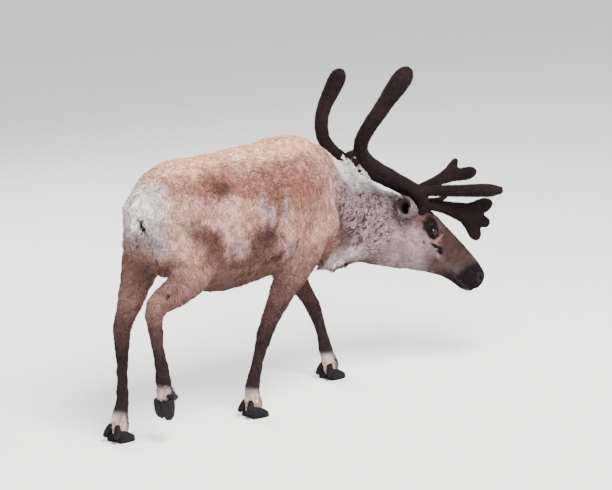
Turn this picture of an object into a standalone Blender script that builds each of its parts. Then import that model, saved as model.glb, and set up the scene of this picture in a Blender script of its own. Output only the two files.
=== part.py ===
"""A life-size bull reindeer in velvet, walking, with its head turned to its right.

The animal faces +X, its right side is -Y and it stands on z = 0. All sizes are metres.
The body is lofted whole, remeshed and then parted with thin cuts. The head and the antlers
are shaped in a frame of their own, whose X runs from the poll to the nose.
"""
import math
import random

import bmesh
import bpy
import numpy as np
from mathutils import Matrix, Vector
from mathutils.bvhtree import BVHTree

NAME = "reindeer"

# The gap that parts neighbouring pieces.
GAP = 0.0003

# Heights that the trunk's outline is hung on.
WITHERS = 1.122
LOIN = 1.112
CHEST_BOTTOM = 0.590
BELLY_BOTTOM = 0.548

# The head's frame: place of the poll, turn to the right, nose-down tilt and twist.
POLL = Vector((0.495, -0.100, 0.770))
HEAD_TURN = math.radians(31.0)
HEAD_DROP = math.radians(48.0)
HEAD_TWIST = math.radians(10.0)


# The eyes and the ears, in the head's frame. The side is the left one.
EYE_RADIUS = 0.0215
EYE_PLACE = Vector((0.181, 0.0610, -0.042))
EAR_ROOT = Vector((0.060, 0.050, -0.036))
EAR_MOUTH = Vector((-0.026, 0.146, -0.072))

# Sizes of the remeshed surfaces and how far they are thinned out afterwards.
BODY_VOXEL = 0.010
HEAD_VOXEL = 0.0038
BODY_TRIANGLES = 3500
HEAD_TRIANGLES = 3400


# The feet.
HOOF_LENGTH = 0.080
HOOF_HEIGHT = 0.052
HOOF_HALF_WIDTH = 0.0235
TOE_SPREAD = math.radians(9.0)

# The lids: how far they stand over the eye, and the half length of the opening between them.
LID = 0.0045
LID_OPENING = 0.0175

# A lock of hair: how deep its root is sunk, its lift from the skin and its thickness for its width.
LOCK_SINK = 0.012
LOCK_LIFT = math.radians(20.0)
LOCK_THICKNESS = 0.30


def head_matrix():
    """World matrix of the head's frame: X to the nose, Y to the left, Z out of the forehead."""
    forward = Vector((math.cos(HEAD_TURN), -math.sin(HEAD_TURN), 0.0))
    left = Vector((math.sin(HEAD_TURN), math.cos(HEAD_TURN), 0.0))
    up = Vector((0.0, 0.0, 1.0))
    nose = forward * math.cos(HEAD_DROP) - up * math.sin(HEAD_DROP)
    brow = forward * math.sin(HEAD_DROP) + up * math.cos(HEAD_DROP)
    side = left * math.cos(HEAD_TWIST) - brow * math.sin(HEAD_TWIST)
    brow = brow * math.cos(HEAD_TWIST) + left * math.sin(HEAD_TWIST)
    rows = [[nose[i], side[i], brow[i], POLL[i]] for i in range(3)]
    return Matrix(rows + [[0.0, 0.0, 0.0, 1.0]])


HEAD = head_matrix()


def clear_scene():
    for thing in list(bpy.data.objects):
        bpy.data.objects.remove(thing, do_unlink=True)


def new_collection(name):
    group = bpy.data.collections.new(name)
    bpy.context.scene.collection.children.link(group)
    return group


def material(name, colour, roughness, metallic=0.0):
    finish = bpy.data.materials.new(name)
    finish.use_nodes = True
    shader = finish.node_tree.nodes["Principled BSDF"]
    shader.inputs["Base Color"].default_value = (*colour, 1.0)
    shader.inputs["Roughness"].default_value = roughness
    shader.inputs["Metallic"].default_value = metallic
    finish.diffuse_color = (*colour, 1.0)
    return finish


def add_object(name, mesh, group):
    thing = bpy.data.objects.new(name, mesh)
    group.objects.link(thing)
    return thing


def mesh_from(bm, name):
    bmesh.ops.recalc_face_normals(bm, faces=bm.faces)
    mesh = bpy.data.meshes.new(name)
    bm.to_mesh(mesh)
    bm.free()
    return mesh


def close_between(bm, loops):
    """Triangles between loops of equal length, all split the same way."""
    for a, b in zip(loops, loops[1:]):
        for k in range(len(a)):
            n = (k + 1) % len(a)
            bm.faces.new((a[k], a[n], b[n]))
            bm.faces.new((a[k], b[n], b[k]))


def spline(rows, steps):
    """Points of a smooth curve through rows of equal length, steps to a span."""
    rows = np.array(rows, dtype=float)
    ends = np.vstack([2 * rows[0] - rows[1], rows, 2 * rows[-1] - rows[-2]])
    out = []
    for i in range(len(rows) - 1):
        a, b, c, d = ends[i:i + 4]
        for k in range(steps):
            t = k / steps
            out.append(0.5 * (2 * b + (c - a) * t + (2 * a - 5 * b + 4 * c - d) * t * t
                              + (3 * b - a - 3 * c + d) * t ** 3))
    out.append(rows[-1])
    return np.array(out)


def loft(name, rings, sides=16, domes=(0.35, 0.35)):
    """Closed mesh through rings of (centre, half height vector, half width vector, lean).

    The lean widens a ring's lower half and narrows its upper one. Each end is domed by a
    share of its ring's height.
    """
    bm = bmesh.new()
    loops = []
    for centre, up, side, lean in rings:
        loop = []
        for k in range(sides):
            turn = 2 * math.pi * k / sides
            width = 1.0 - lean * math.sin(turn)
            place = centre + side * (math.cos(turn) * width) + up * math.sin(turn)
            loop.append(bm.verts.new(place))
        loops.append(loop)
    close_between(bm, loops)
    ends = ((loops[0], rings[0], rings[1], domes[0]), (loops[-1], rings[-1], rings[-2], domes[1]))
    for loop, end, inner, dome in ends:
        out = (end[0] - inner[0]).normalized() * (end[1].length * dome)
        tip = bm.verts.new(end[0] + out)
        for k in range(sides):
            bm.faces.new((loop[k], loop[(k + 1) % sides], tip))
    return mesh_from(bm, name)


def tube_rings(stations, steps=3, grow=0.0, flat_side=Vector((0, 1, 0))):
    """Rings square to a path. A station is x, y, z, half depth, half width, turn.

    The width lies along flat_side, turned about the path by the turn in degrees.
    """
    rows = spline(stations, steps)
    points = [Vector(row[:3]) for row in rows]
    rings = []
    for i, row in enumerate(rows):
        ahead = points[min(i + 1, len(rows) - 1)] - points[max(i - 1, 0)]
        ahead.normalize()
        side = (flat_side - ahead * flat_side.dot(ahead)).normalized()
        side = Matrix.Rotation(math.radians(row[5]), 3, ahead) @ side
        up = ahead.cross(side)
        rings.append((points[i], up * (row[3] + grow), side * (row[4] + grow), 0.0))
    return rings


def span_rings(spans, steps=3):
    """Rings between a top and a bottom point: x, y, z, x, y, z, half width, lean."""
    rings = []
    rows = spline(spans, steps)
    tops = [Vector(row[:3]) for row in rows]
    bottoms = [Vector(row[3:6]) for row in rows]
    centres = [(a + b) / 2 for a, b in zip(tops, bottoms)]
    for i, row in enumerate(rows):
        ahead = centres[min(i + 1, len(rows) - 1)] - centres[max(i - 1, 0)]
        up = (tops[i] - bottoms[i]) / 2
        side = up.cross(ahead).normalized() * row[6]
        rings.append((centres[i], up, side, row[7]))
    return rings


def blob(name, centre, radii, tilt=0.0):
    """An ellipsoid, tilted about Y by degrees."""
    bm = bmesh.new()
    bmesh.ops.create_uvsphere(bm, u_segments=24, v_segments=16, radius=1.0)
    shape = Matrix.Translation(centre) @ Matrix.Rotation(math.radians(tilt), 4, "Y")
    shape = shape @ Matrix.Diagonal((*radii, 1.0))
    bmesh.ops.transform(bm, matrix=shape, verts=bm.verts)
    return mesh_from(bm, name)


def trunk():
    """Rump, belly and chest as one loft along X: x, top, bottom, half width, lean."""
    rows = [(-0.868, 1.005, 0.800, 0.085, 0.05), (-0.845, 1.050, 0.740, 0.126, 0.05),
            (-0.790, 1.092, 0.690, 0.166, 0.06), (-0.700, 1.118, 0.615, 0.190, 0.10),
            (-0.560, LOIN, 0.550, 0.212, 0.12), (-0.400, LOIN, BELLY_BOTTOM, 0.232, 0.12),
            (-0.240, LOIN, 0.566, 0.222, 0.10), (-0.120, WITHERS, CHEST_BOTTOM, 0.188, 0.06),
            (-0.020, 1.108, 0.592, 0.152, 0.08), (0.050, 1.060, 0.620, 0.118, 0.08)]
    spans = [(x, 0, top, x, 0, low, half, lean) for x, top, low, half, lean in rows]
    return loft("trunk", span_rings(spans), sides=28)


def neck():
    """Neck from the withers to the throat, curving to the right, between top and bottom."""
    spans = [(-0.060, 0.000, 1.100, -0.100, 0.000, 0.620, 0.140, 0.05),
             (0.060, 0.000, 1.066, 0.010, 0.000, 0.570, 0.124, 0.05),
             (0.150, 0.000, 1.008, 0.090, -0.010, 0.552, 0.106, 0.03),
             (0.235, -0.030, 0.928, 0.170, -0.035, 0.535, 0.096, 0.02),
             (0.320, -0.048, 0.872, 0.258, -0.062, 0.512, 0.089, 0.02),
             (0.400, -0.068, 0.812, 0.355, -0.088, 0.485, 0.083, 0.0),
             (0.458, -0.088, 0.786, 0.430, -0.112, 0.462, 0.078, 0.0),
             (0.500, -0.108, 0.755, 0.490, -0.145, 0.455, 0.066, 0.0)]
    return loft("neck", span_rings(spans), sides=24)


def skull():
    """Head from poll to muzzle in its own frame: x, top, bottom, half width, lean."""
    rows = [(-0.020, -0.012, -0.150, 0.052, 0.00), (0.025, 0.006, -0.195, 0.064, 0.00),
            (0.080, 0.022, -0.232, 0.073, -0.02), (0.135, 0.031, -0.246, 0.077, -0.05),
            (0.185, 0.030, -0.236, 0.075, -0.08), (0.240, 0.028, -0.212, 0.066, -0.05),
            (0.300, 0.026, -0.175, 0.054, 0.02), (0.360, 0.023, -0.143, 0.047, 0.06),
            (0.420, 0.018, -0.128, 0.044, 0.02), (0.465, 0.010, -0.122, 0.045, -0.05),
            (0.498, -0.001, -0.108, 0.041, -0.08), (0.514, -0.018, -0.090, 0.030, -0.05)]
    spans = [(x, 0, top, x, 0, low, half, lean) for x, top, low, half, lean in rows]
    return loft("skull", span_rings(spans), sides=28, domes=(0.25, 0.25))


# Each leg is a path down its middle: x, y, z, half depth, half width, turn.
LEGS = {
    "front_right": [(-0.060, -0.105, 0.860, 0.110, 0.058, 0), (-0.105, -0.122, 0.720, 0.112, 0.062, 0),
                    (-0.170, -0.126, 0.610, 0.090, 0.056, 0), (-0.243, -0.122, 0.520, 0.063, 0.046, 0),
                    (-0.290, -0.112, 0.440, 0.047, 0.037, 0), (-0.330, -0.100, 0.365, 0.036, 0.031, 0),
                    (-0.345, -0.096, 0.330, 0.036, 0.031, 0), (-0.366, -0.092, 0.270, 0.028, 0.025, 0),
                    (-0.392, -0.088, 0.200, 0.026, 0.024, 0), (-0.412, -0.086, 0.140, 0.031, 0.029, 0),
                    (-0.420, -0.085, 0.100, 0.029, 0.030, 0), (-0.418, -0.085, 0.062, 0.032, 0.035, 0),
                    (-0.416, -0.085, 0.034, 0.032, 0.037, 0)],
    "front_left": [(-0.060, 0.105, 0.860, 0.110, 0.058, 0), (-0.070, 0.122, 0.720, 0.112, 0.062, 0),
                   (-0.040, 0.124, 0.610, 0.086, 0.056, 0), (0.010, 0.118, 0.520, 0.058, 0.046, 0),
                   (0.048, 0.108, 0.440, 0.043, 0.036, 0), (0.092, 0.100, 0.365, 0.035, 0.031, 0),
                   (0.110, 0.097, 0.325, 0.035, 0.031, 0), (0.130, 0.092, 0.265, 0.027, 0.025, 0),
                   (0.146, 0.088, 0.200, 0.025, 0.024, 0), (0.156, 0.085, 0.140, 0.031, 0.029, 0),
                   (0.168, 0.084, 0.098, 0.029, 0.030, 0), (0.176, 0.083, 0.062, 0.032, 0.035, 0),
                   (0.180, 0.083, 0.034, 0.032, 0.037, 0)],
    "hind_right": [(-0.740, -0.092, 0.930, 0.140, 0.072, 0), (-0.725, -0.112, 0.800, 0.150, 0.082, 0),
                   (-0.735, -0.124, 0.700, 0.110, 0.076, 0), (-0.800, -0.126, 0.632, 0.072, 0.056, 0),
                   (-0.870, -0.122, 0.604, 0.056, 0.042, 0), (-0.922, -0.118, 0.582, 0.046, 0.036, 0),
                   (-0.932, -0.114, 0.530, 0.040, 0.032, 0), (-0.922, -0.106, 0.460, 0.030, 0.026, 0),
                   (-0.910, -0.100, 0.380, 0.026, 0.024, 0), (-0.893, -0.094, 0.310, 0.029, 0.026, 0),
                   (-0.888, -0.090, 0.268, 0.034, 0.031, 0), (-0.884, -0.088, 0.230, 0.031, 0.031, 0),
                   (-0.873, -0.088, 0.196, 0.032, 0.034, 0), (-0.866, -0.088, 0.172, 0.032, 0.036, 0)],
    "hind_left": [(-0.740, 0.092, 0.930, 0.140, 0.072, 0), (-0.762, 0.105, 0.800, 0.116, 0.078, 0),
                  (-0.798, 0.112, 0.700, 0.088, 0.070, 0), (-0.842, 0.112, 0.610, 0.067, 0.056, 0),
                  (-0.885, 0.108, 0.530, 0.051, 0.042, 0), (-0.925, 0.104, 0.462, 0.041, 0.035, 0),
                  (-0.934, 0.102, 0.410, 0.036, 0.032, 0), (-0.942, 0.098, 0.330, 0.026, 0.025, 0),
                  (-0.951, 0.095, 0.240, 0.024, 0.023, 0), (-0.960, 0.093, 0.150, 0.027, 0.026, 0),
                  (-0.976, 0.092, 0.108, 0.032, 0.031, 0), (-0.982, 0.092, 0.064, 0.032, 0.035, 0),
                  (-0.984, 0.092, 0.034, 0.032, 0.037, 0)],
}

# The muscle masses that the lofts don't give: centre, radii, tilt about Y in degrees.
MASSES = [((-0.075, 0.112, 0.850), (0.105, 0.064, 0.190), 12), ((0.005, 0.100, 0.745), (0.070, 0.066, 0.085), 0),
          ((-0.705, 0.108, 0.840), (0.150, 0.082, 0.195), -8), ((-0.824, 0.078, 0.860), (0.058, 0.074, 0.160), 4),
          ((-0.030, 0.0, 0.640), (0.110, 0.080, 0.075), 0), ((-0.755, 0.0, 0.695), (0.060, 0.042, 0.050), 0)]

# Where each hoofed foot meets its leg: middle of the hooves at the crown, toe heading, nose-down tilt.
FEET = {
    "front_right": (Vector((-0.412, -0.085, 0.0)), -6.0, 0.0),
    "front_left": (Vector((0.182, 0.083, 0.0)), 4.0, 0.0),
    "hind_right": (Vector((-0.906, -0.088, 0.148)), -4.0, 78.0),
    "hind_left": (Vector((-0.984, 0.092, 0.0)), 4.0, 0.0),
}


def foot_frame(name):
    """Frame of a foot: X to the toe, Z up from the sole, origin on the sole."""
    place, heading, drop = FEET[name]
    turn = Matrix.Rotation(math.radians(heading), 4, "Z") @ Matrix.Rotation(math.radians(drop), 4, "Y")
    return Matrix.Translation(place) @ turn


def both_sides(rows):
    for centre, radii, tilt in rows:
        yield Vector(centre), radii, tilt
        if centre[1]:
            yield Vector((centre[0], -centre[1], centre[2])), radii, tilt


def evaluated(thing):
    """The object's mesh with its modifiers made real."""
    graph = bpy.context.evaluated_depsgraph_get()
    mesh = bpy.data.meshes.new_from_object(thing.evaluated_get(graph))
    thing.modifiers.clear()
    thing.data = mesh
    return mesh


def joined(name, meshes, group):
    bm = bmesh.new()
    for mesh in meshes:
        bm.from_mesh(mesh)
    whole = bpy.data.meshes.new(name)
    bm.to_mesh(whole)
    bm.free()
    return add_object(name, whole, group)


def remesh(thing, voxel, rounds):
    """One closed smooth surface round everything in the object."""
    step = thing.modifiers.new("skin", "REMESH")
    step.mode = "VOXEL"
    step.voxel_size = voxel
    step = thing.modifiers.new("soften", "SMOOTH")
    step.factor = 0.5
    step.iterations = rounds
    evaluated(thing)


def thin_out(thing, triangles):
    step = thing.modifiers.new("thin", "DECIMATE")
    step.ratio = triangles / (2.0 * len(thing.data.polygons))
    step.use_collapse_triangulate = True
    evaluated(thing)


def shape_points(mesh):
    points = np.empty(len(mesh.vertices) * 3)
    mesh.vertices.foreach_get("co", points)
    normals = np.empty(len(mesh.vertices) * 3)
    mesh.vertices.foreach_get("normal", normals)
    return points.reshape(-1, 3), normals.reshape(-1, 3)


def set_points(mesh, points):
    mesh.vertices.foreach_set("co", points.ravel())
    mesh.update()


def swell(points, normals, centre, radii, height):
    """Push points near a centre out by a soft bump, or in for a negative height."""
    away = ((points - np.array(centre)) / np.array(radii)) ** 2
    return normals * (height * np.exp(-away.sum(axis=1)))[:, None]


def line_distance(points, path):
    """Distance of each point to a line of straight runs."""
    best = np.full(len(points), 9.0)
    path = np.array(path, dtype=float)
    for a, b in zip(path, path[1:]):
        run = b - a
        share = np.clip((points - a) @ run / (run @ run), 0.0, 1.0)
        best = np.minimum(best, np.linalg.norm(points - a - share[:, None] * run, axis=1))
    return best


def groove(points, normals, path, width, depth):
    away = line_distance(points, path) / width
    return normals * (-depth * np.exp(-away ** 2))[:, None]


def mirrored(path):
    return [(x, -y, z) for x, y, z in path]


# Lines of the face in the head's frame, left side.
MOUTH_LINE = [(0.372, 0.046, -0.100), (0.420, 0.043, -0.101), (0.462, 0.043, -0.098),
              (0.492, 0.038, -0.092), (0.512, 0.018, -0.086), (0.516, 0.000, -0.084)]
GLAND_SLIT = [(0.212, 0.062, -0.076), (0.245, 0.058, -0.074), (0.278, 0.052, -0.068)]


NOSTRIL = [(0.500, 0.018, -0.045), (0.495, 0.032, -0.039), (0.486, 0.040, -0.029)]

# The grooves of the face: line, half width and depth.
FACE_GROOVES = [(MOUTH_LINE, 0.0050, 0.0085), (GLAND_SLIT, 0.0055, 0.0065), (NOSTRIL, 0.0065, 0.0150)]


def press_lids(points, side):
    """Draw the skin over the eye as two lids, with an almond opening between them."""
    middle = np.array([EYE_PLACE.x, side * EYE_PLACE.y, EYE_PLACE.z])
    out = np.array([0.26, side * 0.93, 0.26])
    out = out / np.linalg.norm(out)
    ahead = np.array([0.93, 0.0, -0.36])
    ahead = ahead - out * (ahead @ out)
    ahead = ahead / np.linalg.norm(ahead)
    up = np.cross(out, ahead) * side
    offset = points - middle
    distance = np.linalg.norm(offset, axis=1)
    near = (distance < 2.4 * EYE_RADIUS) & (offset @ out > 0.0)
    along = (offset @ ahead)[near] / LID_OPENING
    rise = (offset @ up)[near] / LID_OPENING
    edge = np.where(rise > 0, 0.62, 0.42) * np.sqrt(np.clip(1.0 - along ** 2, 0.0, 1.0))
    gap = np.where(np.abs(along) < 1.0, np.abs(rise) - edge, np.hypot(np.abs(along) - 1.0, rise))
    closed = np.clip((gap + 0.06) / 0.16, 0.0, 1.0)
    over = EYE_RADIUS + LID * (1.0 + 0.35 * np.exp(-((gap - 0.15) / 0.18) ** 2))
    wanted = over * closed + (EYE_RADIUS - 0.010) * (1.0 - closed)
    keep = np.clip((distance[near] / EYE_RADIUS - 1.30) / 0.8, 0.0, 1.0)
    radius = wanted * (1.0 - keep) + distance[near] * keep
    points[near] = middle + offset[near] / distance[near][:, None] * radius[:, None]


def face_shape(mesh):
    """Brows, cheeks, muzzle, nostrils, lips, gland slits and lids pushed into the head."""
    points, normals = shape_points(mesh)
    for side in (1.0, -1.0):
        def at(x, y, z):
            return (x, side * y, z)
        push = swell(points, normals, at(0.165, 0.062, -0.004), (0.040, 0.022, 0.016), 0.010)
        push += swell(points, normals, at(0.215, 0.060, -0.060), (0.080, 0.02, 0.018), 0.004)
        push += swell(points, normals, at(0.120, 0.075, -0.140), (0.060, 0.04, 0.060), 0.008)
        push += swell(points, normals, at(0.330, 0.052, -0.080), (0.060, 0.03, 0.022), -0.004)
        push += swell(points, normals, at(0.478, 0.044, -0.062), (0.030, 0.03, 0.024), 0.005)
        push += swell(points, normals, at(0.470, 0.036, -0.112), (0.030, 0.03, 0.010), 0.003)
        points = points + push
        for path, width, depth in FACE_GROOVES:
            path = path if side > 0 else mirrored(path)
            points = points + groove(points, normals, path, width, depth)
        points = points + swell(points, normals, at(0.486, 0.040, -0.024), (0.014, 0.014, 0.010), 0.003)
        press_lids(points, side)
    set_points(mesh, points)


def boolean(thing, other, operation="DIFFERENCE", solver="EXACT"):
    step = thing.modifiers.new("cut", "BOOLEAN")
    step.operation = operation
    step.solver = solver
    step.object = other
    evaluated(thing)


def loose_parts(mesh):
    """The separate closed surfaces of a mesh, as lists of face numbers."""
    bm = bmesh.new()
    bm.from_mesh(mesh)
    seen = set()
    parts = []
    for start in bm.faces:
        if start.index in seen:
            continue
        stack, found = [start], []
        seen.add(start.index)
        while stack:
            face = stack.pop()
            found.append(face.index)
            for edge in face.edges:
                for near in edge.link_faces:
                    if near.index not in seen:
                        seen.add(near.index)
                        stack.append(near)
        parts.append(found)
    bm.free()
    return parts


def part_mesh(mesh, faces, name):
    bm = bmesh.new()
    bm.from_mesh(mesh)
    keep = set(faces)
    drop = [face for face in bm.faces if face.index not in keep]
    bmesh.ops.delete(bm, geom=drop, context="FACES")
    return mesh_from(bm, name)


def keep_largest(thing):
    parts = loose_parts(thing.data)
    if len(parts) > 1:
        thing.data = part_mesh(thing.data, max(parts, key=len), thing.name)


def slab(centre, normal, half_depth, half_width, name):
    """A cutting plate as thick as the gap, square to a direction, its width along Y."""
    ahead = Vector(normal).normalized()
    side = (Vector((0.0, 1.0, 0.0)) - ahead * ahead.y).normalized()
    deep = side.cross(ahead)
    turn = Matrix((deep, side, ahead)).transposed().to_4x4()
    bm = bmesh.new()
    bmesh.ops.create_cube(bm, size=1.0)
    shape = Matrix.Translation(centre) @ turn
    shape = shape @ Matrix.Diagonal((2 * half_depth, 2 * half_width, GAP, 1.0))
    bmesh.ops.transform(bm, matrix=shape, verts=bm.verts)
    return mesh_from(bm, name)


def leg_cut(name, low, share):
    """Place, direction and half sizes of a cut across a leg, between two of its stations."""
    path = LEGS[name]
    a, b = Vector(path[low][:3]), Vector(path[low + 1][:3])
    deep, wide = (path[low][i] * (1 - share) + path[low + 1][i] * share for i in (3, 4))
    return a.lerp(b, share), (b - a), deep + CUT_MARGIN, wide + CUT_MARGIN


# The cuts across the body: head from neck and neck from torso.
HEAD_CUT = (HEAD @ Vector((0.035, 0.0, -0.120)), HEAD.to_3x3() @ Vector((0.80, 0.0, 0.42)))
NECK_CUT = (Vector((0.075, 0.0, 0.800)), Vector((1.0, -0.05, -0.22)))

# How far a cutting plate stands out round a leg.
CUT_MARGIN = 0.016

# Where each leg is cut: station before the cut and share of the way to the next.
LEG_CUTS = {
    "front_right": ((3, 0.10), (6, 0.10), (8, 0.55)),
    "front_left": ((2, 0.80), (6, 0.10), (8, 0.55)),
    "hind_right": ((3, 0.70), (5, 0.80), (8, 0.95)),
    "hind_left": ((3, 0.00), (6, 0.20), (8, 0.60)),
}


def nearest_name(mesh, faces, names):
    middle = Vector()
    for index in faces:
        middle += mesh.polygons[index].center / len(faces)
    return min(names, key=lambda name: (names[name] - middle).length)


def leg_names():
    """A point inside each of the pieces that the legs are cut into."""
    names = {}
    for leg, cuts in LEG_CUTS.items():
        path = [Vector(row[:3]) for row in LEGS[leg]]
        stops = [leg_cut(leg, low, share)[0] for low, share in cuts] + [path[-1]]
        for piece, a, b in zip(("upper", "cannon", "foot"), stops, stops[1:]):
            names["leg_" + leg + "_" + piece] = (a + b) / 2
    return names


def hoof_mesh(name, leg, side, grow):
    """One hoof: a flat sole, a curved toe and an upright heel, in its foot's frame."""
    frame = foot_frame(leg)
    rows = []
    for k in range(7):
        share = k / 6
        x = HOOF_LENGTH * (share - 0.42)
        wide = HOOF_HALF_WIDTH * (0.62 + 0.50 * math.sin(math.pi * (0.10 + 0.62 * share)))
        wide *= 1.0 if share < 0.85 else 0.62
        tall = HOOF_HEIGHT * (1.0 - 0.62 * share ** 1.8)
        shift = -0.006 * share ** 2
        rows.append((x, shift, wide, tall))
    bm = bmesh.new()
    loops = []
    for x, shift, wide, tall in rows:
        loop = []
        for across, level in ((-1.0, 0.0), (1.0, 0.0), (1.04, 0.35), (0.86, 0.78), (0.45, 1.0),
                              (-0.30, 1.0), (-0.72, 0.78), (-0.92, 0.35)):
            out = Vector((x, shift + across * wide, level * tall))
            push = Vector((0.0, math.copysign(grow, across), grow if level > 0.5 else -grow))
            loop.append(bm.verts.new(out + push))
        loops.append(loop)
    close_between(bm, loops)
    bm.faces.new(loops[0])
    bm.faces.new(reversed(loops[-1]))
    for vert in loops[0]:
        vert.co.x -= grow
    for vert in loops[-1]:
        vert.co.x += grow
    lean = Matrix.Rotation(side * TOE_SPREAD, 4, "Z")
    mirror = Matrix.Diagonal((1.0, side, 1.0, 1.0))
    shape = frame @ Matrix.Translation((0.0, side * (HOOF_HALF_WIDTH + 0.0030), 0.0)) @ lean @ mirror
    bmesh.ops.transform(bm, matrix=shape, verts=bm.verts)
    bmesh.ops.triangulate(bm, faces=bm.faces)
    return mesh_from(bm, name)


def dewclaw_mesh(name, leg, side, grow):
    """One of the two small claws behind a foot."""
    frame = foot_frame(leg)
    root = Vector((-0.030, side * 0.022, 0.062))
    tip = Vector((-0.052, side * 0.036, 0.024))
    ahead = tip - root
    stations = [(*(root - ahead * 0.25), 0.010, 0.011, 0), (*root, 0.013, 0.014, 0),
                (*(root + ahead * 0.55), 0.013, 0.015, 0), (*tip, 0.007, 0.010, 0)]
    mesh = loft(name, tube_rings(stations, steps=1, grow=grow, flat_side=Vector((0, 1, 0))), sides=8)
    mesh.transform(frame)
    return mesh


def ear_mesh(name, side, grow):
    """A deep cup, its mouth cut slanting so that the back edge reaches furthest."""
    root, mouth = EAR_ROOT.copy(), EAR_MOUTH.copy()
    root.y *= side
    mouth.y *= side
    ahead = (mouth - root).normalized()
    length = (mouth - root).length
    back = (Vector((-1.0, 0.0, 0.35)) - ahead * Vector((-1.0, 0.0, 0.35)).dot(ahead)).normalized()
    cross = ahead.cross(back)
    outer = [(-0.16, 0.018), (0.06, 0.020), (0.28, 0.027), (0.52, 0.034), (0.78, 0.038), (1.0, 0.036)]
    inner = [(1.005, 0.0315), (0.80, 0.0320), (0.56, 0.0270), (0.36, 0.0170)]
    sides = 18
    bm = bmesh.new()
    loops = []
    for k, (share, radius) in enumerate(outer + inner):
        hollow = k >= len(outer)
        radius = radius - grow if hollow else radius + grow
        loop = []
        for i in range(sides):
            turn = 2 * math.pi * i / sides
            reach = max(share, 0.0) ** 2 * (0.016 * math.cos(turn) - 0.006)
            start = root + ahead * (share * length + reach - (grow if k == 0 else 0.0))
            point = start + back * (radius * 1.12 * math.cos(turn)) + cross * (radius * math.sin(turn))
            loop.append(bm.verts.new(point))
        loops.append(loop)
    close_between(bm, loops)
    for loop in (loops[0], loops[-1]):
        middle = Vector()
        for vert in loop:
            middle += vert.co / sides
        if loop is loops[-1]:
            middle -= ahead * 0.010
        tip = bm.verts.new(middle)
        for i in range(sides):
            bm.faces.new((loop[i], loop[(i + 1) % sides], tip))
    mesh = mesh_from(bm, name)
    mesh.transform(HEAD)
    return mesh


def eye_mesh(name, side, grow):
    bm = bmesh.new()
    bmesh.ops.create_uvsphere(bm, u_segments=14, v_segments=9, radius=EYE_RADIUS + grow)
    place = EYE_PLACE.copy()
    place.y *= side
    bmesh.ops.transform(bm, matrix=HEAD @ Matrix.Translation(place), verts=bm.verts)
    return mesh_from(bm, name)


# The antlers in the head's frame: x, y, z, half depth, half width, turn. The right one has
# negative y. They aren't quite alike, as real ones never are.
BEAMS = {
    "right": [(0.085, -0.034, -0.020, 0.026, 0.027, 0), (0.068, -0.046, 0.014, 0.032, 0.031, 0),
              (0.022, -0.068, 0.030, 0.034, 0.031, 0), (-0.061, -0.100, 0.014, 0.030, 0.028, 0),
              (-0.180, -0.160, -0.022, 0.029, 0.027, 0), (-0.285, -0.220, -0.052, 0.030, 0.027, 0),
              (-0.365, -0.268, -0.050, 0.031, 0.027, 0), (-0.408, -0.306, 0.005, 0.031, 0.026, 0),
              (-0.428, -0.334, 0.085, 0.033, 0.025, 0), (-0.443, -0.345, 0.178, 0.037, 0.024, 0),
              (-0.450, -0.340, 0.255, 0.043, 0.024, 0), (-0.449, -0.326, 0.308, 0.036, 0.021, 0),
              (-0.446, -0.318, 0.332, 0.016, 0.012, 0)],
    "left": [(0.085, 0.034, -0.020, 0.026, 0.027, 0), (0.070, 0.048, 0.020, 0.032, 0.031, 0),
             (0.022, 0.076, 0.042, 0.033, 0.031, 0), (-0.070, 0.142, 0.018, 0.029, 0.028, 0),
             (-0.200, 0.214, -0.018, 0.028, 0.027, 0), (-0.290, 0.270, -0.030, 0.029, 0.027, 0),
             (-0.361, 0.308, -0.006, 0.030, 0.027, 0), (-0.418, 0.336, 0.064, 0.031, 0.026, 0),
             (-0.446, 0.348, 0.142, 0.034, 0.025, 0), (-0.468, 0.342, 0.209, 0.039, 0.024, 0),
             (-0.482, 0.331, 0.249, 0.034, 0.021, 0), (-0.487, 0.325, 0.269, 0.016, 0.012, 0)],
}

# Stations where a beam is cut into base, middle and top.
BEAM_CUTS = {"right": (4, 8), "left": (4, 7)}

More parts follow.
